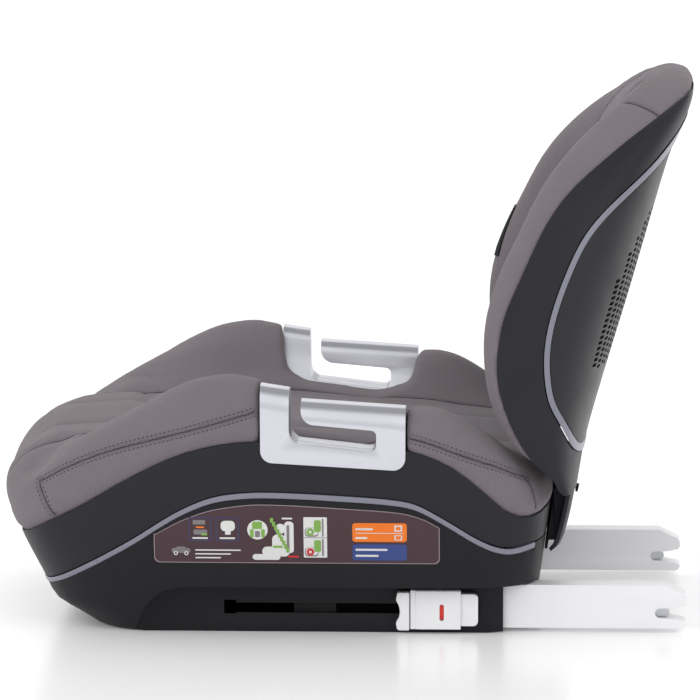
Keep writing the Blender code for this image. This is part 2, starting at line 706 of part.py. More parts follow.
def slider_block(name):
    """The block gripped on the base's side, with the button's socket and the indicator's window."""
    block = box(name, (SLIDER_X[0], SLIDER_Y[0], SLIDER_Z[0]), (SLIDER_X[1], SLIDER_Y[1], SLIDER_Z[1]),
                "connector_white")
    socket = box("socket", (BUTTON_X[0] - GAP, 0.0855, BUTTON_Z[0] - GAP),
                 (BUTTON_X[1] + GAP, 0.1100, BUTTON_Z[1] + GAP))
    middle = (INDICATOR_Z[0] + INDICATOR_Z[1]) / 2
    window = prism_x("window", arc((0.0810, middle + 0.0048), 0.0018, 0, 180, 6)
                     + arc((0.0810, middle - 0.0048), 0.0018, 180, 360, 6), 0.1655, 0.20)
    room = box("indicator_room", (0.1640, 0.0735, INDICATOR_Z[0] - 0.0010),
               (0.1674, 0.0842, INDICATOR_Z[1] + 0.0010))
    return cut(block, socket, join(window, room), link("link_room", GAP, 0.0))


def slider_grip(name):
    """The hollowed finger grip at the slider's front end."""
    hollow = arc((0.0320, 0.0190), 0.0150, -38, 38, 7)
    outline = [(0.0447, 0.0048), (0.0460, 0.0036), (0.0550, 0.0036), (0.0550, 0.0350), (0.0460, 0.0350),
               (0.0447, 0.0338)] + hollow[::-1]
    return prism_x(name, outline, SLIDER_X[0] + 0.0002, SLIDER_X[1] + 0.0010, "connector_white")


def release_button(name):
    """The rear tab: its front end telescopes into the slider block."""
    low, high = BUTTON_Z
    outline = [(BUTTON_Y[0], low), (BUTTON_Y[1] - 0.004, low)] + arc((BUTTON_Y[1] - 0.0040, low + 0.0040), 0.0040,
                                                                    -60, 0, 4)
    outline += arc((BUTTON_Y[1] - 0.0040, high - 0.0040), 0.0040, 0, 60, 4)
    outline += [(BUTTON_Y[1] - 0.004, high), (BUTTON_Y[0], high)]
    return prism_x(name, outline, *BUTTON_X, "connector_white")


def connectors():
    """Each side: a sliding connector with its latch, and the slider that is gripped on the base's side."""
    both_sides("connector_housing", connector_housing)
    both_sides("connector_core", lambda name: box(
        name, (CONNECTOR_CENTRE_X - 0.0100, -0.0400, 0.0080),
        (CONNECTOR_CENTRE_X + 0.0100, CONNECTOR_FRONT_Y - GAP, 0.0350), "steel"))
    both_sides("slider_link", lambda name: link(name, finish="steel"))
    both_sides("slider_block", slider_block)
    both_sides("slider_grip", slider_grip)
    both_sides("release_button", release_button)
    both_sides("lock_indicator", lambda name: box(
        name, (0.1645, INDICATOR_Y[0], INDICATOR_Z[0]), (0.1668, INDICATOR_Y[1], INDICATOR_Z[1]), "signal_red"))
    both_sides("bar_pusher", pusher)
    both_sides("latch_hook", claw)
    both_sides("hook_pin", lambda name: cylinder_x(
        name, (CONNECTOR_CENTRE_X, *HOOK_PIN), 0.0014, 0.0058, "steel", 10))


# ---------------------------------------------------------------- the backrest's outer form

back_half_width = smooth([(0.115, 0.187), (0.160, 0.190), (0.260, 0.189), (0.300, 0.184), (0.340, 0.172),
                          (0.380, 0.150), (0.410, 0.122), (0.430, 0.093), (0.445, 0.058), (0.4535, 0.022)])
back_rear_y = smooth([(0.046, 0.170), (0.062, 0.1790), (0.128, 0.1940), (0.143, 0.1970), (0.207, 0.2150),
                      (0.267, 0.2330), (0.316, 0.2470), (0.381, 0.2660), (0.439, 0.2860), (0.447, 0.2840),
                      (0.4535, 0.2700)])
# Where the black wing meets the backrest's cover, where its grey strip runs, and the bolster's front ridge.
BACK_BORDER = ((0.179, 0.117), (0.161, 0.1395), (0.1485, 0.156), (0.1345, 0.183), (0.128, 0.201),
               (0.1256, 0.220), (0.126, 0.240), (0.1307, 0.2595), (0.145, 0.293), (0.157, 0.325),
               (0.171, 0.345), (0.203, 0.381), (0.224, 0.397), (0.252, 0.417), (0.278, 0.434), (0.310, 0.447))
BACK_STRIP = ((0.225, 0.146), (0.194, 0.159), (0.1766, 0.186), (0.1695, 0.203), (0.1676, 0.218),
              (0.168, 0.238), (0.172, 0.258), (0.1865, 0.295), (0.204, 0.334), (0.217, 0.351),
              (0.2305, 0.365), (0.247, 0.3805), (0.268, 0.4075), (0.300, 0.427))
BACK_STRIP_HALF = 0.0022
back_border_y = smooth([(z, y) for y, z in BACK_BORDER])
back_strip_y = smooth([(z, y) for y, z in BACK_STRIP])
back_ridge_y = smooth([(0.115, 0.172), (0.1385, 0.153), (0.1505, 0.142), (0.165, 0.131), (0.185, 0.123),
                       (0.2045, 0.1180), (0.227, 0.1155), (0.247, 0.1165), (0.273, 0.1225), (0.298, 0.131),
                       (0.330, 0.147), (0.367, 0.167), (0.394, 0.188), (0.415, 0.214), (0.4535, 0.262)])
back_front_y = smooth([(0.115, 0.150), (0.150, 0.1440), (0.180, 0.1490), (0.220, 0.1600), (0.300, 0.1830),
                       (0.380, 0.2060), (0.436, 0.2240), (0.448, 0.2380), (0.4535, 0.2580)])
BACK_REAR_POWER = 4.0
BACK_LEVELS = (0.115, 0.135, 0.158, 0.188, 0.220, 0.255, 0.290, 0.322, 0.350, 0.375, 0.398, 0.418, 0.434,
               0.446, 0.4535)
PAN_DEPTH = 0.024                # the centre of the backrest's pan, behind the cushion's face


def back_ring(z, inset=0.0):
    """A level section of the backrest: a deep rounded rear and a shallow front."""
    half = max(back_half_width(z) - inset, 0.004)
    seam = min(back_border_y(z), back_rear_y(z) - 0.008)
    reach = max(back_rear_y(z) - seam - inset, 0.002)
    ring = []
    for a in samples(0, math.pi, 19):
        c, d = math.cos(a), max(math.sin(a), 0.0)
        side = math.copysign(abs(c) ** (2 / BACK_REAR_POWER), c)
        ring.append((half * side, seam + reach * d ** (2 / BACK_REAR_POWER), z))
    ring[0], ring[-1] = (half, seam, z), (-half, seam, z)
    return ring + [(-half, seam - 0.030, z), (half, seam - 0.030, z)]


def back_solid(name, inset=0.0, stretch=0.0):
    levels = list(BACK_LEVELS)
    rings = [back_ring(z, inset) for z in levels]
    if stretch:
        lowest = [(x, y, z - stretch) for x, y, z in rings[0]]
        rings = [lowest, *rings]
    return loft(name, rings)


def shifted(points, distance):
    """An open (y, z) line moved sideways, to its left for a positive distance."""
    moved = []
    for i, point in enumerate(points):
        ahead = Vector(points[min(i + 1, len(points) - 1)])
        back = Vector(points[max(i - 1, 0)])
        along = (ahead - back).normalized()
        moved.append(tuple(Vector(point) + Vector((-along.y, along.x)) * distance))
    return moved


def behind(line, distance):
    """A cutter for everything on the rear side of a backrest line."""
    edge = shifted(line, distance)
    return prism_x("behind", edge + [(0.40, edge[-1][1]), (0.40, edge[0][1])], -0.3, 0.3)


# ---------------------------------------------------------------- hinges and fasteners

def rod(name, start, end, radius, finish=None, sides=12):
    """A cylinder between two points."""
    start, end = Vector(start), Vector(end)
    along = end - start
    placed = Matrix.Translation((start + end) / 2) @ along.to_track_quat("Z", "Y").to_matrix().to_4x4()
    bm = bmesh.new()
    bmesh.ops.create_cone(
        bm, cap_ends=True, segments=sides, radius1=radius, radius2=radius, depth=along.length, matrix=placed
    )
    return build(name, bm, finish)


LEAF_FOOT_Z, LEAF_TOP_Z = 0.0930, 0.1180


def tongue_rear(z):
    return back_rear_y(z) - 0.0004


def tongue_front(z):
    return tongue_rear(z) - TONGUE_THICKNESS


def back_screw_axis(side, depth):
    """The point on a hinge screw's axis this deep below the tongue's rear face."""
    z = 0.1080
    normal = Vector((0, 0.975, -0.222))
    return Vector((side * HINGE_X, tongue_rear(z), z)) - normal * depth


def back_screw_hole(side):
    return rod("screw_hole", back_screw_axis(side, 0.0072), back_screw_axis(side, -0.005), 0.0018)


def hinge_bracket(name):
    """The bracket on the tub's rear wall: a flange and two ears for the pin."""
    def flange_front(z):
        return rear_y(z) + 0.0006

    low, high = 0.0580, 0.0795
    flange = [(flange_front(low), low), (flange_front(low) + 0.0022, low), (flange_front(high) + 0.0022, high),
              (flange_front(high), high)]
    bracket = prism_x(name, flange, HINGE_X - HINGE_HALF, HINGE_X + HINGE_HALF)
    ear = [(flange_front(low) + 0.0008, low + 0.0020)] + arc((HINGE_Y, HINGE_Z), KNUCKLE_RADIUS, -70, 180, 10) \
        + [(flange_front(high) + 0.0008, high - 0.0010)]
    for x in (HINGE_X - HINGE_HALF, HINGE_X + HINGE_HALF - 0.0024):
        join(bracket, prism_x("ear", ear, x, x + 0.0024))
    cut(bracket, rod("bore", (HINGE_X - 0.02, HINGE_Y, HINGE_Z), (HINGE_X + 0.02, HINGE_Y, HINGE_Z),
                     PIN_RADIUS + GAP))
    bracket.data.materials.append(material("steel"))
    return bracket


def hinge_arm(name):
    """The backrest's knuckle, with a leaf that lies against the tongue."""
    top, foot = LEAF_TOP_Z, LEAF_FOOT_Z
    leaf = [(tongue_front(z) - GAP, z) for z in (0.0800, foot, top)]
    leaf += [(tongue_front(top) - GAP - 0.0040, top), (tongue_front(foot) - GAP - 0.0040, foot)]
    lug = arc((HINGE_Y, HINGE_Z), KNUCKLE_RADIUS, 75, 285, 9)
    arm = prism_x(name, leaf + lug, HINGE_X - HINGE_HALF + 0.0029, HINGE_X + HINGE_HALF - 0.0029, "steel")
    cut(arm, rod("bore", (HINGE_X - 0.02, HINGE_Y, HINGE_Z), (HINGE_X + 0.02, HINGE_Y, HINGE_Z),
                 PIN_RADIUS + GAP))
    return cut(arm, back_screw_hole(1.0))


def hinges():
    both_sides("hinge_bracket", hinge_bracket)
    both_sides("hinge_arm", hinge_arm)
    both_sides("hinge_pin", lambda name: rod(
        name, (HINGE_X - HINGE_HALF - 0.0012, HINGE_Y, HINGE_Z), (HINGE_X + HINGE_HALF + 0.0012, HINGE_Y, HINGE_Z),
        PIN_RADIUS, "steel"))


def screws():
    """Four screws up through the tub's floor into the seat's posts, and one in each hinge leaf."""
    for number, (x, y) in enumerate(POSTS, 1):
        screw = rod(f"base_screw_{number}", (x, y, 0.0006), (x, y, 0.0024), 0.0034, "steel")
        join(screw, rod("shank", (x, y, 0.0020), (x, y, 0.0200), 0.0014))

    def back_screw(name):
        screw = rod(name, back_screw_axis(1.0, -0.0024), back_screw_axis(1.0, -0.0004), 0.0036, "steel")
        return join(screw, rod("shank", back_screw_axis(1.0, -0.0010), back_screw_axis(1.0, 0.0066), 0.0014))

    both_sides("backrest_screw", back_screw)


# ---------------------------------------------------------------- backrest pieces

PAN_LEVELS = (0.128, 0.158, 0.188, 0.220, 0.255, 0.290, 0.322, 0.350, 0.375, 0.398, 0.412, 0.4245)
PAN_SHARES = (-1.0, -0.92, -0.80, -0.67, -0.55, 0.0, 0.55, 0.67, 0.80, 0.92, 1.0)


def pan_y(x, z):
    """The front face of the pan behind the backrest's cushion; its top edge turns back to the shell."""
    t = abs(x) / back_half_width(z)
    deepest = back_rear_y(z) - 0.016
    side = min(back_strip_y(z - 0.010), back_strip_y(z)) - 0.010
    side = min(side, deepest)
    middle = min(back_front_y(z) + PAN_DEPTH, deepest)
    bowed = middle + (side - middle) * ease((t - 0.55) / 0.40)
    turn = ease((z - 0.398) / (PAN_LEVELS[-1] - 0.398))
    return bowed + (back_rear_y(z) - 0.0045 - bowed) * turn


def back_pan(margin=0.0):
    """The pan as a plate, or the room that it needs."""
    rings = []
    for z in PAN_LEVELS:
        xs = [share * back_half_width(z) for share in PAN_SHARES]
        rings.append([(x, pan_y(x, z) - margin, z) for x in xs]
                     + [(x, pan_y(x, z) + WALL + margin, z) for x in reversed(xs)])
    return loft("pan", rings)


def seat_clearance():
    """Room above the seat cushion, which every backrest piece keeps clear of."""
    rear_low = [(0.090, 0.100), (0.178, 0.100)]
    sides = [(0.178, 0.1165), (0.172, 0.1300), (0.160, 0.1405), (0.145, 0.1520), (0.120, 0.1730),
             (0.100, 0.1870), (0.090, 0.1930)]
    middle = [(0.178, 0.1165), (0.171, 0.1370), (0.163, 0.1500), (0.150, 0.1560), (0.120, 0.1735),
              (0.090, 0.1935)]
    room = prism_x("seat_clearance", rear_low + sides, -0.3, 0.3)
    return join(room, prism_x("middle", rear_low + middle, -0.145, 0.145))


def backrest_shell():
    """The wings and the pan in one moulding, with the tongue below."""
    shell = back_solid("backrest_shell")
    cut(shell, back_solid("hollow", WALL, 0.02))
    keep(shell, behind(BACK_BORDER, 0.0))
    cut(shell, behind(BACK_STRIP, BACK_STRIP_HALF + GAP))
    join(shell, keep(back_pan(), back_solid("pan_edge", WALL / 2)))
    rear_cover = cut(back_solid("rear_cover", -WALL), back_solid("hollow", WALL + GAP, 0.02))
    cut(shell, keep(rear_cover, behind(BACK_STRIP, BACK_STRIP_HALF + GAP)))
    levels = (0.0620, 0.0800, LEAF_FOOT_Z, LEAF_TOP_Z, 0.1280, 0.1500)
    outer = [(0.1690, 0.0470), (0.1752, 0.0520)] + [(tongue_rear(z), z) for z in levels]
    inner = [(tongue_front(z), z) for z in reversed(levels)] + [(0.1722, 0.0540), (0.1680, 0.0500)]
    join(shell, prism_x("tongue", outer + inner, -TONGUE_HALF, TONGUE_HALF))
    cut(shell, seat_clearance(), back_screw_hole(1.0), back_screw_hole(-1.0))
    return tidied(shell, "shell_black")


def backrest_panel():
    """The rear cover."""
    panel = back_solid("backrest_panel")
    cut(panel, back_solid("hollow", WALL, 0.02))
    keep(panel, behind(BACK_STRIP, -BACK_STRIP_HALF - GAP))
    return tidied(panel, "shell_black")


def backrest_trim():
    """The grey strip that runs all round the rear cover."""
    trim = back_solid("backrest_trim", -STRIP_PROUD)
    cut(trim, back_solid("hollow", WALL, 0.02))
    band = shifted(BACK_STRIP, BACK_STRIP_HALF) + shifted(BACK_STRIP, -BACK_STRIP_HALF)[::-1]
    keep(trim, prism_x("band", band, -0.3, 0.3))
    return tidied(trim, "trim_grey")


FACE_SHARES = (0.0, 0.30, 0.52, 0.62, 0.71, 0.80, 0.88, 0.94, 0.98, 1.0)
RIDGE_SHARE = 0.88


def cushion_face_y(share, z):
    """The cushion's face across the backrest: flat in the middle, a bolster ridge, then round to the border."""
    middle, ridge = back_front_y(z), min(back_ridge_y(z), back_front_y(z))
    if share <= RIDGE_SHARE:
        return middle + (ridge - middle) * ease((share - 0.48) / (RIDGE_SHARE - 0.48))
    t = (share - RIDGE_SHARE) / (1 - RIDGE_SHARE)
    edge = max(min(back_border_y(z), back_rear_y(z) - 0.004), ridge)
    return ridge + (edge - ridge) * (1 - math.sqrt(max(1 - t * t, 0.0)))


def backrest_cushion():
    """The padded backrest in front of the pan, wrapped over the top edge."""
    shares = [-share for share in reversed(FACE_SHARES[1:])] + list(FACE_SHARES)
    rings = []
    for z in (0.1285, *BACK_LEVELS[2:]):
        half = back_half_width(z)
        face = [(share * half, cushion_face_y(abs(share), z), z) for share in shares]
        if z <= PAN_LEVELS[-1]:
            back = [(x, max(pan_y(x, z) - GAP, y + 0.002), z) for x, y, z in reversed(face)]
        else:
            back = [(x, max(back_rear_y(z), y + 0.002), z) for x, y, z in reversed(face)]
        rings.append(face + back)
    cushion = loft("backrest_cushion", rings)
    keep(cushion, back_hull())
    inside = back_solid("core", WALL + GAP, 0.02)
    pan_room = back_pan(GAP)
    rear_zone = cut(behind(BACK_BORDER, GAP), inside)
    cut(cushion, rear_zone, pan_room, seat_clearance())
    return tidied(cushion, "fabric_grey")


def back_hull():
    """The backrest's outline with room in front of it, which rounds the cushion's rear top edge."""
    rings = []
    for z in BACK_LEVELS:
        ring = back_ring(z)
        rings.append(ring[:-2] + [(x, 0.05, z) for x, _, _ in ring[-2:]])
    return loft("hull", rings)


def backrest_tag():
    """A small blank tag sewn on the front edge of the right-hand bolster."""
    levels = samples(0.274, 0.318, 6)
    face = [(back_ridge_y(z) - 0.0008, z) for z in levels]
    front = shifted(face, 0.0018)
    return prism_x("backrest_tag", face + front[::-1], -0.166, -0.154, "tag_black")


def main():
    for old in list(bpy.data.objects):
        bpy.data.objects.remove(old)
    base_shell()
    rails()
    seat_shell()
    trims()
    labels()
    belt_guides()
    seat_cushion()
    connectors()
    hinges()
    screws()
    backrest_shell()
    backrest_panel()
    backrest_trim()
    backrest_cushion()
    backrest_tag()


main()
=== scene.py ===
"""The looks of the booster seat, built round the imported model.

Metres, +Z up, the seat faces -Y, +X is the child's left. The outer forms follow the CAD solids at a finer
resolution, with their borders moved to match the photograph, and keep to the CAD model's box within a
fraction of a millimetre.
"""

import math

import bmesh
import bpy
import numpy as np
from mathutils import Matrix, Vector
from mathutils.bvhtree import BVHTree
from mathutils.kdtree import KDTree


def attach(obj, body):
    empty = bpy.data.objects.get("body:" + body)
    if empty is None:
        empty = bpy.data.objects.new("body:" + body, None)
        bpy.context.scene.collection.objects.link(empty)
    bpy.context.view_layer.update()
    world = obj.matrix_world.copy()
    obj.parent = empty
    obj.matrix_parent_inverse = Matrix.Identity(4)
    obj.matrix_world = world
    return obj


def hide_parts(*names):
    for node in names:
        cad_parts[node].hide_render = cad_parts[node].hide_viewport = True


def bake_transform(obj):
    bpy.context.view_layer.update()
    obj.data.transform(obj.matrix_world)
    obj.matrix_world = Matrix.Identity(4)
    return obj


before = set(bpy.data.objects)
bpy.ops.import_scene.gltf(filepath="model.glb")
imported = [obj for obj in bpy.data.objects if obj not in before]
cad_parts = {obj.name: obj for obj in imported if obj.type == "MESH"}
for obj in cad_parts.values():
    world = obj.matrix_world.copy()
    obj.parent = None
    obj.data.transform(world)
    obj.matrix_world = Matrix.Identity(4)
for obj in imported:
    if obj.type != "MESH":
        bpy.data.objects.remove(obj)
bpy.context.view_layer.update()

SIDES = (("left", 1.0), ("right", -1.0))

# ---------------------------------------------------------------- driving dimensions

WALL = 0.003
FLOOR = 0.0025
GAP = 0.0004
BEYOND = 0.3                     # cutters reach this far from the origin, past every side of the seat
RING_POINTS = 168
BODY_MIDDLE_Y = -0.03
FRONT_POWER, REAR_POWER = 5.5, 7.0
STRIP_HALF, STRIP_PROUD = 0.0024, 0.0008
STRIP_REAR_END_Y, STRIP_JOINT_Y = 0.156, -0.198
STRIP_FRONT_Z, BORDER_FRONT_Z = 0.0345, 0.0755
RECESS_PLANE_X, RECESS_TOP_Z = 0.157, 0.0405
SLOT = dict(y0=-0.097, y1=0.106, z0=0.0155, z1=0.0237)
MOUTH_Y, MOUTH_INNER_X, MOUTH_TOP_Z = 0.131, 0.1265, 0.04
CONNECTOR_X, CONNECTOR_HALF, CONNECTOR_Z = 0.14, 0.0125, (0.0036, 0.039)
CONNECTOR_FRONT_Y, CONNECTOR_TIP_Y = -0.005, 0.2805
NOTCH_CENTRE, NOTCH_RADIUS = (0.259, 0.016), 0.0042
GUIDE_OUTER_X, GUIDE_PARTING_X = 0.2075, 0.189
GUIDE_TOP_SLOPE, GUIDE_FRONT_Y, GUIDE_REAR_Y = -0.154, -0.0655, 0.0525
GUIDE_BEND_Z = 0.15              # the guide's section is lowered above this height only
BAR_START_Y, BAR_DROP = -0.0365, 0.008
BACK_STRIP_HALF = 0.0022
TONGUE_HALF, TONGUE_THICKNESS, TONGUE_BOW = 0.112, 0.0035, 0.0045

# ---------------------------------------------------------------- making of the meshes

SLIVER_DEG = 0.3                 # faces that meet at less than this are one flat face
MIRROR_SHARP_DEG = 32
VOXEL, PRESSURE, CLOTH_FRAMES = 0.0042, 4.0, 20
LINE_SPACING, LINE_EVENING = 0.001, 4
# The fold radius is for the dark tubes that paint the shade along the seams.
STITCH_PITCH, STITCH_LENGTH, THREAD_RADIUS, FOLD_SHADE_RADIUS = 0.0036, 0.0023, 0.00032, 0.00042
STITCH_OFFSET = 0.0034           # from a seam to the row of thread beside it
SEAM_SPREAD = 3                  # a crease fades out within this many of its widths


# ---------------------------------------------------------------- curves and outlines

def smooth(points):
    """A smooth curve through (position, value) points that never overshoots them."""
    xs = np.array([p[0] for p in points], float)
    ys = np.array([p[1] for p in points], float)
    step = np.diff(xs)
    slope = np.diff(ys) / step
    tangent = np.zeros(len(xs))
    tangent[0], tangent[-1] = slope[0], slope[-1]
    for i in range(1, len(xs) - 1):
        if slope[i - 1] * slope[i] > 0:
            before, after = 2 * step[i] + step[i - 1], step[i] + 2 * step[i - 1]
            tangent[i] = (before + after) / (before / slope[i - 1] + after / slope[i])

    def value(x):
        x = min(max(x, xs[0]), xs[-1])
        i = min(int(np.searchsorted(xs, x, side="right")) - 1, len(step) - 1)
        t = (x - xs[i]) / step[i]
        return float(
            ys[i] * (1 + 2 * t) * (1 - t) ** 2
            + ys[i + 1] * t * t * (3 - 2 * t)
            + step[i] * (tangent[i] * t * (1 - t) ** 2 - tangent[i + 1] * t * t * (1 - t))
        )

    return value


def flowing(points):
    """A curve through (position, value) points whose curvature never jumps."""
    xs, ys = np.array(points, float).T
    last = len(xs) - 1
    step = np.diff(xs)
    system, wanted = np.eye(last + 1), np.zeros(last + 1)
    for i in range(1, last):
        system[i, i - 1:i + 2] = step[i - 1], 2 * (step[i - 1] + step[i]), step[i]
        wanted[i] = 6 * ((ys[i + 1] - ys[i]) / step[i] - (ys[i] - ys[i - 1]) / step[i - 1])
    bend = np.linalg.solve(system, wanted)

    def value(x):
        x = min(max(x, xs[0]), xs[-1])
        i = min(int(np.searchsorted(xs, x, side="right")) - 1, last - 1)
        b = (x - xs[i]) / step[i]
        a = 1 - b
        cubic = ((a**3 - a) * bend[i] + (b**3 - b) * bend[i + 1]) * step[i] ** 2 / 6
        return float(a * ys[i] + b * ys[i + 1] + cubic)

    return value


def eased(curve, reach):
    """The curve averaged over a short reach either way, which rounds its bends."""
    def value(x):
        return sum(curve(x + reach * step / 4) for step in range(-4, 5)) / 9

    return value


def samples(start, end, count):
    return [start + (end - start) * i / (count - 1) for i in range(count)]


def arc(centre, radius, start_deg, end_deg, count=9):
    angles = [math.radians(a) for a in samples(start_deg, end_deg, count)]
    return [(centre[0] + radius * math.cos(a), centre[1] + radius * math.sin(a)) for a in angles]


def ease(t):
    t = min(max(t, 0.0), 1.0)
    return t * t * (3 - 2 * t)


def grown(outline, distance):
    """The closed anticlockwise outline with each point moved outwards by distance."""
    moved = []
    for i, point in enumerate(outline):
        back = Vector(point) - Vector(outline[i - 1])
        ahead = Vector(outline[(i + 1) % len(outline)]) - Vector(point)
        normal_back = Vector((back.y, -back.x)).normalized()
        normal_ahead = Vector((ahead.y, -ahead.x)).normalized()
        middle = (normal_back + normal_ahead).normalized()
        moved.append(tuple(Vector(point) + middle * (distance / max(middle.dot(normal_ahead), 0.5))))
    return moved


def shifted(points, distance):
    """An open line moved sideways, to its left for a positive distance."""
    moved = []
    for i, point in enumerate(points):
        ahead = Vector(points[min(i + 1, len(points) - 1)])
        back = Vector(points[max(i - 1, 0)])
        along = (ahead - back).normalized()
        moved.append(tuple(Vector(point) + Vector((-along.y, along.x)) * distance))
    return moved


# ---------------------------------------------------------------- mesh tools

def added(name, bm):
    """A new object in the scene, from a bmesh that is used up."""
    mesh = bpy.data.meshes.new(name)
    bm.to_mesh(mesh)
    bm.free()
    obj = bpy.data.objects.new(name, mesh)
    bpy.context.scene.collection.objects.link(obj)
    return obj


def edited(obj, *changes):
    """Makes changes to the object's mesh, each of them a function of its bmesh."""
    bm = bmesh.new()
    bm.from_mesh(obj.data)
    for change in changes:
        change(bm)
    bm.to_mesh(obj.data)
    bm.free()
    return obj


def build(name, bm):
    """A new object whose faces all point outwards."""
    bmesh.ops.remove_doubles(bm, verts=bm.verts, dist=1e-6)
    bmesh.ops.recalc_face_normals(bm, faces=bm.faces)
    return added(name, bm)


def skin(bm, rings, closed=False):
    """Faces between neighbouring rings of vertices, and from the last to the first if closed."""
    for one, two in zip(rings, rings[1:] + (rings[:1] if closed else [])):
        for i in range(len(one)):
            j = (i + 1) % len(one)
            bm.faces.new((one[i], one[j], two[j], two[i]))


def loft(name, rings):
    """A closed solid through rings of the same number of points."""
    bm = bmesh.new()
    made = [[bm.verts.new(p) for p in ring] for ring in rings]
    skin(bm, made)
    bm.faces.new(made[0])
    bm.faces.new(made[-1])
    if len(rings) > 2:
        bmesh.ops.triangulate(bm, faces=bm.faces)
    return build(name, bm)


def prism_x(name, outline, x0, x1):
    return loft(name, [[(x, y, z) for y, z in outline] for x in (x0, x1)])


def prism_y(name, outline, y0, y1):
    return loft(name, [[(x, y, z) for x, z in outline] for y in (y0, y1)])


def box(name, low, high):
    outline = [(low[0], low[1]), (high[0], low[1]), (high[0], high[1]), (low[0], high[1])]
    return loft(name, [[(x, y, z) for x, y in outline] for z in (low[2], high[2])])


def applied(obj):
    """Bakes the object's modifiers into its mesh."""
    bpy.context.view_layer.update()
    graph = bpy.context.evaluated_depsgraph_get()
    mesh = bpy.data.meshes.new_from_object(obj.evaluated_get(graph))
    obj.modifiers.clear()
    old = obj.data
    obj.data = mesh
    bpy.data.meshes.remove(old)
    return obj


def combine(obj, other, operation):
    """Applies a Boolean with another object, which is used up."""
    modifier = obj.modifiers.new(operation, "BOOLEAN")
    modifier.operation = operation
    modifier.solver = "EXACT"
    modifier.object = other
    applied(obj)
    bpy.data.meshes.remove(other.data)
    return obj


def cut(obj, *cutters):
    for cutter in cutters:
        combine(obj, cutter, "DIFFERENCE")
    return obj


def join(obj, *others):
    for other in others:
        combine(obj, other, "UNION")
    return obj


def keep(obj, region):
    """Keeps only the part of the object inside the region."""
    return combine(obj, region, "INTERSECT")


def merged(name, parts, use_up=True):
    """Several separate meshes in one new object, without a Boolean."""
    bm = bmesh.new()
    for part in parts:
        bm.from_mesh(part.data)
        if use_up:
            bpy.data.meshes.remove(part.data)
    return added(name, bm)


def mirror(bm):
    bmesh.ops.scale(bm, vec=(-1, 1, 1), verts=bm.verts)
    bmesh.ops.reverse_faces(bm, faces=bm.faces)


def shaded(obj, sharp_deg):
    """Shades the object smooth, apart from its edges sharper than this."""
    obj.data.shade_smooth()
    obj.data.set_sharp_from_angle(angle=math.radians(sharp_deg))
    return obj


def mirrored(obj, name):
    """A copy of the object on the seat's other side."""
    bm = bmesh.new()
    bm.from_mesh(obj.data)
    mirror(bm)
    copy = added(name, bm)
    for used in obj.data.materials:
        copy.data.materials.append(used)
    return copy


def flipped(obj):
    """Turns a left piece into the right one."""
    return shaded(edited(obj, mirror), MIRROR_SHARP_DEG)


def weld(bm):
    bmesh.ops.remove_doubles(bm, verts=bm.verts, dist=0.00002)


def dissolve_flats(bm):
    """Joins the coplanar slivers that Booleans leave, so that bevels and shading stay clean."""
    bmesh.ops.dissolve_limit(bm, angle_limit=math.radians(SLIVER_DEG), verts=bm.verts, edges=bm.edges)


def finished(obj, material, bevel=0.0, sharp_deg=35, segments=3):
    """Rounds the edges, shades the object smooth and gives it its material."""
    if bevel:
        edited(obj, dissolve_flats)
        rounding = obj.modifiers.new("edges", "BEVEL")
        rounding.width = bevel
        rounding.segments = segments
        rounding.limit_method = "ANGLE"
        rounding.angle_limit = math.radians(sharp_deg)
        rounding.harden_normals = False
        applied(obj)
    shaded(obj, sharp_deg)
    obj.data.materials.clear()
    obj.data.materials.append(material)
    return obj


def hand_over(obj, body, slot, *nodes):
    """Puts a finished piece on its body and hides the CAD nodes that it stands for; the slot argument is
    not used.
    """
    if nodes:
        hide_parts(*nodes)
    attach(obj, body)


# ---------------------------------------------------------------- materials

def socket(shader, name, value):
    shader.inputs[name].default_value = value


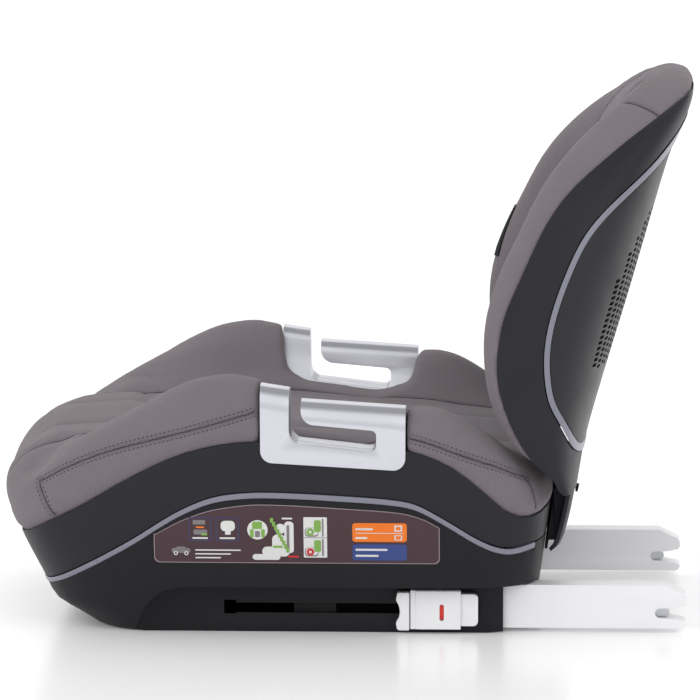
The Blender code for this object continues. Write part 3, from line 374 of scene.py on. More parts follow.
class Finish:
    """A Principled material, with helpers for colour and relief in the seat's own coordinates."""

    def __init__(self, name, colour, roughness, metallic=0.0):
        self.material = bpy.data.materials.new(name)
        self.material.use_nodes = True
        self.tree = self.material.node_tree
        self.shader = self.tree.nodes["Principled BSDF"]
        self.colour = (*colour, 1.0)
        socket(self.shader, "Base Color", self.colour)
        socket(self.shader, "Roughness", roughness)
        socket(self.shader, "Metallic", metallic)
        self.coordinates = self.tree.nodes.new("ShaderNodeTexCoord")
        self.place = self.coordinates.outputs["Object"]
        self.normal = None

    def add(self, kind, inputs=None, **settings):
        node = self.tree.nodes.new(kind)
        for key, value in settings.items():
            setattr(node, key, value)
        for key, value in (inputs or {}).items():
            node.inputs[key].default_value = value
        return node

    def link(self, source, target):
        self.tree.links.new(source, target)

    def scaled(self, scale):
        """The seat's coordinates, multiplied by these factors."""
        mapping = self.add("ShaderNodeMapping", {"Scale": scale})
        self.link(self.place, mapping.inputs["Vector"])
        return mapping.outputs["Vector"]

    def noise(self, scale, detail=3.0, rough=0.55, vector=None):
        node = self.add("ShaderNodeTexNoise", {"Scale": scale, "Detail": detail, "Roughness": rough})
        self.link(vector or self.place, node.inputs["Vector"])
        return node.outputs["Fac"]

    def facing(self):
        """How much the surface faces along each axis of the seat, as three shares of 1."""
        split = self.add("ShaderNodeSeparateXYZ")
        self.link(self.coordinates.outputs["Normal"], split.inputs["Vector"])
        powers = [self.maths("POWER", self.maths("ABSOLUTE", part, 0.0), 5.0) for part in split.outputs]
        total = self.plus(self.plus(powers[0], powers[1]), powers[2])
        return [self.maths("DIVIDE", power, total) for power in powers]

    def ribs(self, shares, pitch, turn_deg, wobble):
        """Ribs this far apart, drawn in the plane that the cloth faces, with a value from 0 to 1."""
        c, s = math.cos(math.radians(turn_deg)), math.sin(math.radians(turn_deg))
        result = None
        for share, direction in zip(shares, ((0, c, s), (c, 0, s), (c, s, 0))):
            dot = self.add("ShaderNodeVectorMath", operation="DOT_PRODUCT")
            self.link(self.place, dot.inputs[0])
            dot.inputs[1].default_value = [part * 2 * math.pi / pitch for part in direction]
            phase = self.plus(dot.outputs["Value"], wobble)
            wave = self.times(self.maths("SINE", phase, 0.0), 0.5)
            shared = self.times(self.plus(wave, 0.5), share)
            result = self.plus(result, shared) if result else shared
        return result

    def ranged(self, source, low, high, start, end):
        """A value from low to high, while the source goes from start to end."""
        node = self.add("ShaderNodeMapRange",
                        {"From Min": start, "From Max": end, "To Min": low, "To Max": high})
        self.link(source, node.inputs["Value"])
        return node.outputs["Result"]

    def maths(self, operation, first, second):
        node = self.add("ShaderNodeMath", operation=operation)
        for place, value in enumerate((first, second)):
            if isinstance(value, (int, float)):
                node.inputs[place].default_value = value
            else:
                self.link(value, node.inputs[place])
        return node.outputs["Value"]

    def plus(self, first, second):
        return self.maths("ADD", first, second)

    def times(self, first, second):
        return self.maths("MULTIPLY", first, second)

    def tint(self, factor, low, high):
        """Scales the colour between two brightnesses by a factor from 0 to 1."""
        mix = self.add("ShaderNodeMix", data_type="RGBA")
        mix.inputs[6].default_value = (*[c * low for c in self.colour[:3]], 1.0)
        mix.inputs[7].default_value = (*[min(c * high, 1.0) for c in self.colour[:3]], 1.0)
        self.link(factor, mix.inputs[0])
        self.link(mix.outputs[2], self.shader.inputs["Base Color"])

    def rough(self, factor, low, high):
        """Varies the roughness between two values, over the middle half of a factor from 0 to 1."""
        self.link(self.ranged(factor, low, high, 0.25, 0.75), self.shader.inputs["Roughness"])

    def relief(self, height, depth, strength=1.0):
        """Adds a bump layer whose height runs from 0 to depth metres."""
        bump = self.add("ShaderNodeBump", {"Strength": strength, "Distance": depth})
        self.link(height, bump.inputs["Height"])
        if self.normal:
            self.link(self.normal, bump.inputs["Normal"])
        self.normal = bump.outputs["Normal"]
        self.link(self.normal, self.shader.inputs["Normal"])


def moulded(name, colour, roughness, specular, grain=2600.0, depth=0.00003):
    """Moulded plastic: a fine spark-eroded grain and slow changes of gloss."""
    finish = Finish(name, colour, roughness)
    socket(finish.shader, "Specular IOR Level", specular)
    slow = finish.noise(14.0, 3.0)
    finish.tint(slow, 0.9, 1.12)
    finish.rough(finish.noise(38.0, 4.0), roughness - 0.05, roughness + 0.05)
    finish.relief(finish.noise(grain, 2.0), depth)
    return finish.material


def painted(name, colour, roughness):
    """Smooth glossy or satin plastic with a trace of orange peel."""
    finish = Finish(name, colour, roughness)
    finish.tint(finish.noise(22.0, 2.0), 0.97, 1.03)
    finish.relief(finish.noise(420.0, 2.0), 0.000012)
    socket(finish.shader, "Coat Weight", 0.15)
    socket(finish.shader, "Coat Roughness", 0.2)
    return finish.material


def metallic_paint(name, colour):
    """Satin silver paint: fine flakes under a smooth skin, slow changes of gloss, and painted reflection
    and shade bands where the surface tilts upwards.
    """
    finish = Finish(name, colour, 0.3, 0.7)
    split = finish.add("ShaderNodeSeparateXYZ")
    finish.link(finish.coordinates.outputs["Normal"], split.inputs["Vector"])
    upwards = split.outputs["Z"]

    def band(start, full, fading, gone):
        """1 where the surface tilts upwards by this much, 0 elsewhere."""
        return finish.maths("SUBTRACT", finish.ranged(upwards, 0.0, 1.0, start, full),
                            finish.ranged(upwards, 0.0, 1.0, fading, gone))

    flakes = finish.times(finish.noise(1700.0, 1.0), 0.12)
    # Painted reflection: a dark band on the top roll, where it tilts up towards the darker ceiling, and a
    # fainter band of painted shade where the face first tilts up into the crease below the roll.
    painted_roll_reflection = finish.times(band(0.5, 0.66, 0.9, 0.97), 0.62)
    painted_reflection_and_crease_shade = finish.plus(painted_roll_reflection, finish.times(band(0.02, 0.1, 0.16, 0.3), 0.2))
    finish.tint(finish.maths("SUBTRACT", finish.plus(flakes, 0.88), painted_reflection_and_crease_shade), 0.3, 1.05)
    finish.rough(finish.noise(45.0, 3.0), 0.26, 0.36)
    finish.relief(finish.noise(2200.0, 1.0), 0.000006)
    return finish.material


def steel(name):
    """Bright steel with fine streaks along the seat."""
    finish = Finish(name, (0.52, 0.53, 0.56), 0.34, 1.0)
    streak = finish.noise(90.0, 4.0, 0.6, finish.scaled((4.0, 0.3, 4.0)))
    finish.tint(streak, 0.86, 1.08)
    finish.rough(streak, 0.26, 0.42)
    return finish.material


RIB_PITCH = 0.0014               # one diagonal rib of the cover's twill


def woven(name, colour):
    """The cover's fabric: diagonal ribs crossed by fine threads, soft mottling and painted shade along the
    seams.
    """
    finish = Finish(name, colour, 0.92)
    shares = finish.facing()
    wobble = finish.times(finish.noise(240.0, 1.0), 2.2)
    ribs = finish.ribs(shares, RIB_PITCH, 52, wobble)
    threads = finish.ribs(shares, RIB_PITCH * 1.3, -38, wobble)
    weave = finish.plus(finish.times(ribs, 0.7), finish.times(threads, 0.3))
    fuzz = finish.noise(1500.0, 2.0)
    mottle = finish.noise(11.0, 3.0)
    # The seam attribute is painted shade: it darkens the cloth in the creases along the sewn lines.
    seam = finish.add("ShaderNodeAttribute", attribute_name="seam").outputs["Fac"]
    shade = finish.plus(finish.times(weave, 0.62), finish.times(fuzz, 0.22))
    shade = finish.plus(shade, finish.times(mottle, 0.22))
    shade = finish.maths("SUBTRACT", shade, finish.times(seam, 0.35))
    finish.tint(shade, 0.46, 1.48)
    finish.relief(finish.plus(weave, finish.times(fuzz, 0.5)), 0.00025, 0.9)
    socket(finish.shader, "Sheen Weight", 0.12)
    socket(finish.shader, "Sheen Roughness", 0.5)
    socket(finish.shader, "Specular IOR Level", 0.15)
    return finish.material


def printed(name, colour, roughness=0.42):
    """Ink, film or thread, with a trace of mottling."""
    finish = Finish(name, colour, roughness)
    finish.tint(finish.noise(300.0, 2.0), 0.93, 1.05)
    socket(finish.shader, "Specular IOR Level", 0.25)
    return finish.material


SHELL = moulded("upper_shell_plastic", (0.0132, 0.0126, 0.0172), 0.46, 0.25)
TUB = moulded("lower_tub_plastic", (0.0118, 0.0112, 0.0142), 0.5, 0.18)
REAR = moulded("rear_cover_plastic", (0.0145, 0.014, 0.0175), 0.4, 0.3)
TRIM = painted("strip_satin_grey", (0.185, 0.185, 0.235), 0.34)
COVER = woven("cover_twill", (0.172, 0.15, 0.163))
# Dark thread for the stitches; the same material paints the shade in the seams' folds.
THREAD_AND_SEAM_SHADE = printed("thread_and_seam_shade", (0.045, 0.038, 0.046), 0.8)
SILVER = metallic_paint("guide_silver_paint", (0.6, 0.605, 0.655))
WHITE = painted("connector_white_plastic", (0.79, 0.79, 0.81), 0.36)
STEEL = steel("zinc_steel")
DARK_STEEL = moulded("blackened_rail", (0.01, 0.01, 0.012), 0.55, 0.2, 900.0)
RED = painted("indicator_red", (0.74, 0.02, 0.008), 0.35)
LABEL = printed("label_brown_film", (0.062, 0.034, 0.041))
LABEL_EDGE = printed("label_edge_line", (0.3, 0.25, 0.27))
INK_LIGHT = printed("label_light_ink", (0.66, 0.66, 0.65))
INK_GREEN = printed("label_green_ink", (0.2, 0.38, 0.08))
INK_RED = printed("label_red_ink", (0.55, 0.03, 0.03))
INK_ORANGE = printed("label_orange_ink", (0.78, 0.18, 0.02))
INK_BLUE = printed("label_blue_ink", (0.04, 0.066, 0.22))
INK_GREY = printed("label_grey_ink", (0.2, 0.18, 0.19))
# Near-black for the pieces seen through the slots: painted shade, so the slots look dark inside.
SLOT_SHADE_BLACK = moulded("slot_shade_black", (0.0006, 0.0006, 0.0007), 0.7, 0.03)
TAG = moulded("tag_black_weave", (0.01, 0.01, 0.013), 0.75, 0.2, 900.0, 0.00012)


# ---------------------------------------------------------------- the base's outer form

half_width = smooth([(0, 0.166), (0.01, 0.17), (0.04, 0.181), (0.08, 0.195), (0.12, 0.203), (0.17, 0.206)])
front_y = smooth(
    [(0, -0.207), (0.012, -0.226), (0.022, -0.242), (0.04, -0.251), (0.085, -0.272), (0.125, -0.284),
     (0.17, -0.284)]
)
rear_y = smooth([(0, 0.152), (0.02, 0.158), (0.045, 0.162), (0.075, 0.166), (0.11, 0.17), (0.17, 0.171)])
border_z = eased(smooth(
    [(-0.269, BORDER_FRONT_Z), (-0.255, 0.084), (-0.2424, 0.092), (-0.215, 0.107), (-0.164, 0.137),
     (-0.121, 0.1555), (-0.08, 0.163), (-0.03, 0.1645), (0.054, 0.157), (0.089, 0.144), (0.12, 0.119),
     (0.141, 0.101), (0.156, 0.099), (0.172, 0.107)]
), 0.008)
strip_z = eased(smooth(
    [(-0.248, STRIP_FRONT_Z), (-0.233, 0.042), (-0.216, 0.0515), (-0.174, 0.076), (-0.122, 0.108),
     (-0.098, 0.1165), (-0.065, 0.1195), (0.008, 0.1165), (0.055, 0.112), (0.082, 0.0985),
     (0.118, 0.0765), (0.136, 0.0705), (0.156, 0.0745)]
), 0.009)


def body_point(angle, z, inset=0.0):
    """The point of the base's plan outline in this direction, at this height."""
    half = half_width(z) - inset
    behind_middle = math.sin(angle) > 0
    reach = (rear_y(z) - BODY_MIDDLE_Y if behind_middle else BODY_MIDDLE_Y - front_y(z)) - inset
    power = REAR_POWER if behind_middle else FRONT_POWER
    size = (abs(math.cos(angle) / half) ** power + abs(math.sin(angle) / reach) ** power) ** (-1 / power)
    return (size * math.cos(angle), BODY_MIDDLE_Y + size * math.sin(angle), z)


def side_x(y, z):
    """How far out the base's side is at this place."""
    half = half_width(z)
    reach = rear_y(z) - BODY_MIDDLE_Y if y > BODY_MIDDLE_Y else BODY_MIDDLE_Y - front_y(z)
    power = REAR_POWER if y > BODY_MIDDLE_Y else FRONT_POWER
    share = min(abs(y - BODY_MIDDLE_Y) / reach, 0.999)
    return half * (1 - share**power) ** (1 / power)


def ring_angles():
    """Directions round the plan outline, closer together at its corners."""
    turns = [2 * math.pi * (i + 0.5) / RING_POINTS for i in range(RING_POINTS)]
    return [t - 0.13 * math.sin(4 * t) for t in turns]


def body_solid(name, inset, levels):
    return loft(name, [[body_point(a, z, inset) for a in ring_angles()] for z in levels])


def height_on(curve, angle, offset):
    """Where a side curve crosses the body's surface in this direction."""
    z = 0.1
    for _ in range(12):
        z = curve(body_point(angle, z)[1]) + offset
    return z


def band(name, low, high, proud=0.0, thickness=WALL, corner=0.001, angles=None):
    """A strip of the base's wall between two heights, as functions of direction, with rounded edges."""
    full = angles is None
    angles = angles or ring_angles()
    rings = []
    for a in angles:
        z0, z1 = low(a), high(a)
        lower = [(z0 + corner * (1 - math.sin(t)), corner * (1 - math.cos(t)) - proud)
                 for t in samples(math.pi / 2, 0, 4)]
        upper = [(z1 - corner * (1 - math.sin(t)), corner * (1 - math.cos(t)) - proud)
                 for t in samples(0, math.pi / 2, 4)]
        middle = [(z0 + corner + (z1 - z0 - 2 * corner) * t, -proud) for t in samples(0, 1, 14)[1:-1]]
        inner = [(z1, thickness), (z0, thickness)]
        rings.append([body_point(a, z, inset) for z, inset in lower + middle + upper + inner])
    bm = bmesh.new()
    made = [[bm.verts.new(p) for p in ring] for ring in rings]
    skin(bm, made, closed=full)
    if not full:
        bm.faces.new(made[0])
        bm.faces.new(made[-1])
    return build(name, bm)


# ---------------------------------------------------------------- lower tub

def recess_outline(margin=0.0):
    """The side recess: an arch at the front, open at the floor and at the rear."""
    top = RECESS_TOP_Z + margin
    curve = smooth([(0, 0), (0.016, 0.0055), (0.029, 0.0145), (0.037, 0.0255), (RECESS_TOP_Z, 0.0415)])
    front = [(-0.1695 + curve(z) - margin, z + (margin if z else 0)) for z in
             (0.0, 0.008, 0.016, 0.023, 0.029, 0.033, 0.0365, 0.039, RECESS_TOP_Z)]
    return [(front[0][0], -0.02), *front, (0.2, top), (0.2, -0.02)]


def side_room(side, margin=0.0):
    """The room beside and behind the tub's side wall, for the slider and the connector."""
    recess = prism_x("recess", recess_outline(margin), side * (RECESS_PLANE_X - margin), side * 0.26)
    near, far = sorted((side * (MOUTH_INNER_X - margin), side * 0.2))
    corner = box("corner", (near, MOUTH_Y - margin, -0.02), (far, 0.2, RECESS_TOP_Z + margin))
    return join(recess, corner)


def slot_outline():
    """The slider's slot in the tub's side, as (y, z), with a taller mouth at its front end."""
    y0, y1, z0, z1 = SLOT["y0"], SLOT["y1"], SLOT["z0"], SLOT["z1"]
    wide = y0 + 0.01
    return [(y0, z0 - 0.001), (wide, z0 - 0.001), (wide, z0), (y1, z0), (y1, z1), (wide, z1),
            (wide, z1 + 0.0022), (y0, z1 + 0.0022)]


def lower_tub():
    """The black tub with its side recesses, their slots and the mouths that the connectors pass through."""
    low_levels = [0, 0.0008, 0.0025, 0.005, 0.008, 0.012, 0.016, 0.021, 0.027, 0.034, 0.042, 0.052, 0.064,
                  0.078, 0.092, 0.106, 0.118, 0.13]
    rings = []
    for z in low_levels:
        lip = 0.0022 * (1 - min(z / 0.0025, 1.0)) ** 2
        rings.append([body_point(a, z, lip) for a in ring_angles()])
    tub = loft("lower_tub", rings)
    cavity = body_solid("cavity", WALL, [FLOOR, *low_levels[5:-1], 0.14])
    for _, side in SIDES:
        cut(tub, side_room(side))
        cut(cavity, side_room(side, WALL))
    cut(tub, cavity)
    end = STRIP_REAR_END_Y + GAP
    rim = [(y, strip_z(y) - STRIP_HALF - GAP) for y in samples(-0.3, end, 130)]
    rim += [(y, strip_z(y) + STRIP_HALF - GAP / 2) for y in samples(end, 0.2, 8)]
    cut(tub, prism_x("above", rim + [(0.2, 0.2), (-0.3, 0.2)], -BEYOND, BEYOND))
    for _, side in SIDES:
        near, far = sorted((side * (MOUTH_INNER_X + 0.0002), side * (RECESS_PLANE_X - WALL - 0.0004)))
        cut(tub, box("mouth", (near, MOUTH_Y - 0.01, 0.0032), (far, MOUTH_Y + 0.01, MOUTH_TOP_Z)))
        cut(tub, prism_x("slot", slot_outline(), side * (RECESS_PLANE_X - 2 * WALL), side * 0.16))
    finished(tub, TUB, 0.0007, 32, 2)
    hand_over(tub, "base", "shell_black", "base_shell")


# ---------------------------------------------------------------- skirt, strips and labels

def strip_edge(offset):
    return lambda a: height_on(strip_z, a, offset)


def skirt():
    """The black side shell between the grey strip and the cover, and the seat pan inside it."""
    shell = band("seat_skirt", strip_edge(STRIP_HALF + GAP), lambda a: height_on(border_z, a, 0.0),
                 corner=0.0012)
    for _, side in SIDES:
        cut(shell, prism_x("guide_seat", grown(guide_block_outline(), GAP), side * 0.15, side * 0.3))
    finished(shell, SHELL, 0.0, 40)
    pan_line = [(0.1665, 0.092), (0.13, 0.092), (0.095, 0.123), (-0.17, 0.123), (-0.235, 0.08),
                (-0.265, 0.08)]
    pan = prism_x("seat_pan", pan_line + [(y, z + 0.004) for y, z in reversed(pan_line)], -0.22, 0.22)
    keep(pan, body_solid("pan_edge", WALL + 0.0002, [0.03, 0.06, 0.09, 0.12, 0.15]))
    finished(pan, TUB)
    hand_over(shell, "base", "shell_black", "seat_shell")
    hand_over(pan, "base", "shell_black")


def strips():
    """The satin grey strips round the front and along both sides."""
    low, high = strip_edge(-STRIP_HALF), strip_edge(STRIP_HALF)

    def at(y, side):
        """The direction in which the strip reaches this distance back."""
        best = min(samples(-math.pi / 2, math.pi / 2, 4001),
                   key=lambda a: abs(body_point(a, strip_z(y))[1] - y))
        return best if side > 0 else math.pi - best

    joint, rear = at(STRIP_JOINT_Y, 1), at(STRIP_REAR_END_Y, 1)
    step = 0.0006
    spans = {
        "front_trim": samples(-math.pi - joint + step, joint - step, 90),
        "side_trim_left": samples(joint + step, rear, 110),
        "side_trim_right": samples(math.pi - rear, math.pi - joint - step, 110),
    }
    for node, angles in spans.items():
        strip = band(node + "_strip", low, high, STRIP_PROUD, WALL, 0.0009, angles)
        finished(strip, TRIM, 0.0, 60)
        hand_over(strip, "base", "trim_grey", node)


def patch(name, y0, y1, low, high, side, proud, material, columns=60, rows=8, edge=0.00035):
    """A thin film on the base's side between two heights, as functions of y."""
    bm = bmesh.new()
    grid = []
    for share in samples(0, 1, columns):
        y = y0 + (y1 - y0) * (share - 0.98 * math.sin(2 * math.pi * share) / (2 * math.pi))
        z0, z1 = low(y), high(y)
        grid.append([(y, z) for z in samples(z0, max(z1, z0 + 1e-5), rows)])
    outer = [[bm.verts.new((side * (side_x(y, z) + proud), y, z)) for y, z in line] for line in grid]
    inner = [[bm.verts.new((side * (side_x(y, z) + proud - edge), y, z)) for y, z in line] for line in grid]
    for front, flip in ((outer, False), (inner, True)):
        for i in range(len(front) - 1):
            for j in range(rows - 1):
                face = (front[i][j], front[i + 1][j], front[i + 1][j + 1], front[i][j + 1])
                bm.faces.new(face[::-1] if flip else face)
    loop_out, loop_in = (
        [line[0] for line in face] + face[-1][1:] + [line[-1] for line in face[-2::-1]] + face[0][-2:0:-1]
        for face in (outer, inner)
    )
    for i in range(len(loop_out)):
        j = (i + 1) % len(loop_out)
        bm.faces.new((loop_out[i], loop_in[i], loop_in[j], loop_out[j]))
    made = build(name, bm)
    return finished(made, material, 0.0, 50)


def rounded(y0, y1, z0, z1, radius):
    """The lower and upper edges of a box with rounded corners, as functions of y."""
    def inset(y):
        gone = max(y0 + radius - y, y - (y1 - radius), 0.0)
        return radius - math.sqrt(max(radius**2 - gone**2, 0.0))

    return lambda y: z0 + inset(y), lambda y: z1 - inset(y)


label_crest = smooth([(-0.15, 0.0865), (-0.128, 0.0985), (-0.1, 0.108), (-0.065, 0.112), (0.01, 0.1085),
                      (0.048, 0.1055), (0.066, 0.1005), (0.081, 0.0925)])


def label_plate(name, side):
    """The information label, with generic boxes and drawings in place of any words."""
    y0, y1, floor, radius = -0.1515, 0.08, 0.062, 0.0045
    parts = []

    def plate(material, margin, proud, tag):
        low, _ = rounded(y0 + margin, y1 - margin, floor + margin, 0.2, radius)
        return patch(f"label_{tag}_{name}", y0 + margin, y1 - margin, low,
                     lambda y: label_crest(y) - margin, side, proud, material, 120, 14)

    parts.append(plate(LABEL_EDGE, 0.0, 0.0006, "edge"))
    parts.append(plate(LABEL, 0.0007, 0.00085, "film"))

    def block(y, z, wide, tall, material, corner=90, proud=105):
        """A printed rectangle, from the plate's lower front corner, in hundredths of a millimetre."""
        y, z, wide, tall, corner, proud = (value / 100000 for value in (y, z, wide, tall, corner, proud))
        a, b = y0 + y, y0 + y + wide
        low, high = rounded(a, b, floor + z, floor + z + tall, min(corner, wide / 2.01, tall / 2.01))
        parts.append(patch(f"ink_{len(parts)}_{name}", a, b, low, high, side, proud, material,
                           columns=20, rows=4, edge=0.0002))

    def lines(y, z, wide, count, pitch=330, tall=110):
        """Short bars where small print would be."""
        for row in range(count):
            block(y, z + row * pitch, wide * (1.0 - 0.22 * ((row * 5 + 2) % 3)), tall, INK_LIGHT, 40)

    for frame_y in (2850, 5050):
        block(frame_y, 1900, 1850, 2000, INK_BLUE, 140)
        block(frame_y + 50, 1950, 1750, 1900, LABEL, 120, 115)
        block(frame_y + 300, 2080, 1250, 140, INK_LIGHT, 40, 130)
    for row in (
        (3200, 3300, 1000, 380, INK_GREY, 60, 130), (3450, 3000, 650, 140, INK_ORANGE, 40, 130),
        (3250, 2450, 1100, 420, INK_GREY, 100, 130), (3850, 2380, 500, 180, INK_GREEN, 60, 140),
        (5450, 2750, 1150, 880, INK_LIGHT, 340, 130), (5800, 2450, 450, 340, INK_LIGHT, 60, 130),
        (1450, 850, 1500, 420, INK_GREY, 160), (1800, 1100, 800, 300, INK_GREY, 140),
    ):
        block(*row)
    for wheel in (1600, 2450):
        block(wheel, 660, 340, 340, INK_LIGHT, 170, 125)
        block(wheel + 80, 740, 180, 180, LABEL, 90, 135)
    lines(3350, 400, 3700, 3)
    for row in (
        (7600, 2050, 1650, 1650, INK_LIGHT, 820, 115), (8000, 2950, 800, 620, INK_GREEN, 120, 130),
        (7820, 2220, 300, 720, INK_GREEN, 120, 130), (8720, 2220, 300, 720, INK_GREEN, 120, 130),
        (8220, 2250, 400, 520, INK_GREY, 80, 130), (8000, 300, 2250, 500, INK_LIGHT, 240, 115),
        (8800, 600, 2200, 850, INK_LIGHT, 380, 120), (9600, 1000, 1100, 1500, INK_LIGHT, 450, 120),
        (9850, 2550, 850, 850, INK_LIGHT, 420, 120), (10600, 900, 750, 2700, INK_LIGHT, 300, 118),
        (10780, 1000, 220, 2300, INK_GREY, 100, 135),
    ):
        block(*row)
    for step in range(9):
        block(9450 + 160 * step, 3500 - 320 * step, 260, 400, INK_GREEN, 80, 145)
    for row in (
        (9650, 1350, 800, 180, INK_GREEN, 80, 145), (10850, 520, 900, 160, INK_RED, 60, 120),
        (10400, 3780, 850, 140, INK_LIGHT, 60, 120), (12150, 520, 1900, 3450, INK_LIGHT, 80),
        (12180, 2220, 1840, 40, INK_GREY, 10, 125),
    ):
        block(*row)
    for low, mark in ((2320, INK_GREEN), (620, INK_RED)):
        block(12250, low, 1100, 750, INK_GREY, 260, 118)
        block(12320, low + 120, 980, 600, INK_LIGHT, 220, 122)
        block(13000, low + 400, 550, 1000, INK_GREEN, 160, 130)
        block(12380, low + 80, 620, 620, mark, 310, 140)
        block(12580, low + 280, 220, 220, INK_LIGHT, 100, 150)
        block(13650, low + 20, 120, 1500, INK_GREY, 40, 125)
    block(16100, 1900, 4400, 1600, INK_ORANGE, 220)
    lines(16350, 2900, 2500, 1, tall=160)
    lines(16350, 2150, 1700, 1, tall=160)
    for row in (
        (16350, 2620, 3900, 50, INK_LIGHT, 20, 120), (19500, 2800, 620, 520, INK_LIGHT, 60, 120),
        (19620, 2900, 380, 300, INK_ORANGE, 60, 140), (19500, 2060, 620, 420, INK_LIGHT, 60, 120),
        (19600, 2130, 420, 280, INK_ORANGE, 60, 140), (16100, 300, 4400, 1400, INK_BLUE, 220),
    ):
        block(*row)
    lines(16350, 620, 3300, 2, 520, 170)
    return parts


def labels():
    for name, side in SIDES:
        parts = label_plate(name, side)
        for part in parts:
            hand_over(part, "base", "label_brown", *([f"info_label_{name}"] if part is parts[0] else []))


# ---------------------------------------------------------------- armrest belt guides

def guide_block_outline():
    """The guide's outline without its slot, anticlockwise."""
    low_front = arc((-0.0545, 0.1565), 0.01, 180, 265, 12)
    low_rear = arc((0.0425, 0.151), 0.01, 275, 360, 12)
    top = [(GUIDE_REAR_Y, 0.23), (GUIDE_FRONT_Y + 0.0005, 0.23)]
    return low_front + low_rear + top


def guide_slot_outline():
    """The belt's way in: down between the front post and the bar, then back under the bar."""
    post = [(-0.0415, 0.24), (-0.0415, 0.173)]
    floor = arc((-0.0315, 0.1715), 0.0095, 190, 262, 9) + [(0.022, 0.1558)]
    back = arc((0.0235, 0.1615), 0.0055, 285, 360, 8) + arc((0.0245, 0.169), 0.0045, 0, 90, 8)
    bar = arc((-0.0205, 0.189), 0.0115, 265, 180, 12) + [(-0.0322, 0.24)]
    return post + floor + back + bar


def guide_section(margin=0.0):
    """The (x, z) section: a flat outer face, a long roll to the top edge, a flared inner face."""
    top, outer = 0.209 + margin, GUIDE_OUTER_X + margin
    roll_out = [(outer - 0.013 * (1 - math.cos(t)), top - 0.019 * (1 - math.sin(t)))
                for t in samples(0, math.pi / 2, 12)]
    roll_in = arc((0.183 - margin, top - 0.011), 0.011, 90, 170, 10)
    flare = smooth([(0.12, 0.144), (0.145, 0.15), (0.165, 0.161), (0.185, 0.169), (0.1995, 0.1722)])
    inner = [(flare(z) - margin, z) for z in (0.196, 0.192, 0.188, 0.184, 0.179, 0.174, 0.169, 0.163,
                                              0.156, 0.15, 0.145, 0.135, 0.12)]
    return [(outer, 0.12)] + roll_out + roll_in + inner


def guide_drop(y):
    """How far the guide's top has come down here; the bar starts lower than the post ends."""
    post = GUIDE_TOP_SLOPE * (y - GUIDE_FRONT_Y)
    if y <= BAR_START_Y:
        return post
    return post - BAR_DROP * (1 - (y - BAR_START_Y) / (GUIDE_REAR_Y - BAR_START_Y))


def guide_form(name, margin=0.0):
    places = (GUIDE_FRONT_Y - 0.02, BAR_START_Y, BAR_START_Y + 0.0002, GUIDE_REAR_Y, GUIDE_REAR_Y + 0.02)
    rings = []
    for y in places:
        down = guide_drop(min(y, GUIDE_REAR_Y))
        rings.append([(x, y, z + down if z > GUIDE_BEND_Z else z) for x, z in guide_section(margin)])
    return loft(name, rings)


def belt_guides():
    """The silver armrest guides: an outer and an inner half, parted along the top."""
    for stem, x0, x1, room in (
        ("belt_guide", GUIDE_PARTING_X, 0.26, (GUIDE_PARTING_X - 0.01, GUIDE_OUTER_X - 0.0022)),
        ("belt_guide_inner", 0.1, GUIDE_PARTING_X - GAP, (0.1, GUIDE_PARTING_X + 0.01)),
    ):
        half = keep(prism_x(stem, guide_block_outline(), x0, x1), guide_form("form"))
        hollow = prism_x("hollow", grown(guide_block_outline(), -0.0022), *room)
        keep(hollow, guide_form("hollow_form", -0.0022))
        cut(hollow, prism_x("slot_wall", grown(guide_slot_outline(), 0.0022), 0.1, 0.26))
        cut(half, hollow, prism_x("slot", guide_slot_outline(), 0.1, 0.26))
        edited(half, weld, dissolve_flats)
        finished(half, SILVER, 0.0009, 32, 3)
        half.name = half.data.name = stem + "_left_shell"
        other = shaded(mirrored(half, stem + "_right_shell"), MIRROR_SHARP_DEG)
        hand_over(half, "base", "guide_silver", stem + "_left")
        hand_over(other, "base", "guide_silver", stem + "_right")


# ---------------------------------------------------------------- sewn covers

def puffed(obj, cap, freedom):
    """Remeshes a closed form, puffs it by at most cap with a cloth simulation and subdivides it once."""
    remesh = obj.modifiers.new("remesh", "REMESH")
    remesh.mode = "VOXEL"
    remesh.voxel_size = VOXEL
    applied(obj)
    smoothing = obj.modifiers.new("smoothing", "SMOOTH")
    smoothing.factor = 0.5
    smoothing.iterations = 3
    applied(obj)
    count = len(obj.data.vertices)
    rest = np.empty(count * 3)
    obj.data.vertices.foreach_get("co", rest)
    rest = rest.reshape(-1, 3)
    free = np.array([freedom(*p) for p in rest])
    held = obj.vertex_groups.new(name="held")
    for index in range(count):
        held.add([index], float(1 - free[index]), "REPLACE")
    cloth = obj.modifiers.new("cloth", "CLOTH")
    cloth.settings.quality = 5
    cloth.settings.mass = 0.3
    cloth.settings.tension_stiffness = 15
    cloth.settings.compression_stiffness = 15
    cloth.settings.bending_stiffness = 0.6
    cloth.settings.use_pressure = True
    cloth.settings.uniform_pressure_force = PRESSURE
    cloth.settings.effector_weights.gravity = 0
    cloth.settings.vertex_group_mass = "held"
    cloth.point_cache.frame_start, cloth.point_cache.frame_end = 1, CLOTH_FRAMES
    for step in range(1, CLOTH_FRAMES + 1):
        bpy.context.scene.frame_set(step)
    applied(obj)
    bpy.context.scene.frame_set(1)
    moved = np.empty(count * 3)
    obj.data.vertices.foreach_get("co", moved)
    shift = moved.reshape(-1, 3) - rest
    length = np.maximum(np.linalg.norm(shift, axis=1, keepdims=True), 1e-9)
    shift *= np.minimum(1.0, cap / length) * free[:, None]
    obj.data.vertices.foreach_set("co", (rest + shift).ravel())
    obj.vertex_groups.clear()
    finer = obj.modifiers.new("finer", "SUBSURF")
    finer.levels = finer.render_levels = 1
    applied(obj)
    obj.data.shade_smooth()


def tree_of(obj):
    places = [v.co.copy() for v in obj.data.vertices]
    return BVHTree.FromPolygons(places, [p.vertices[:] for p in obj.data.polygons])


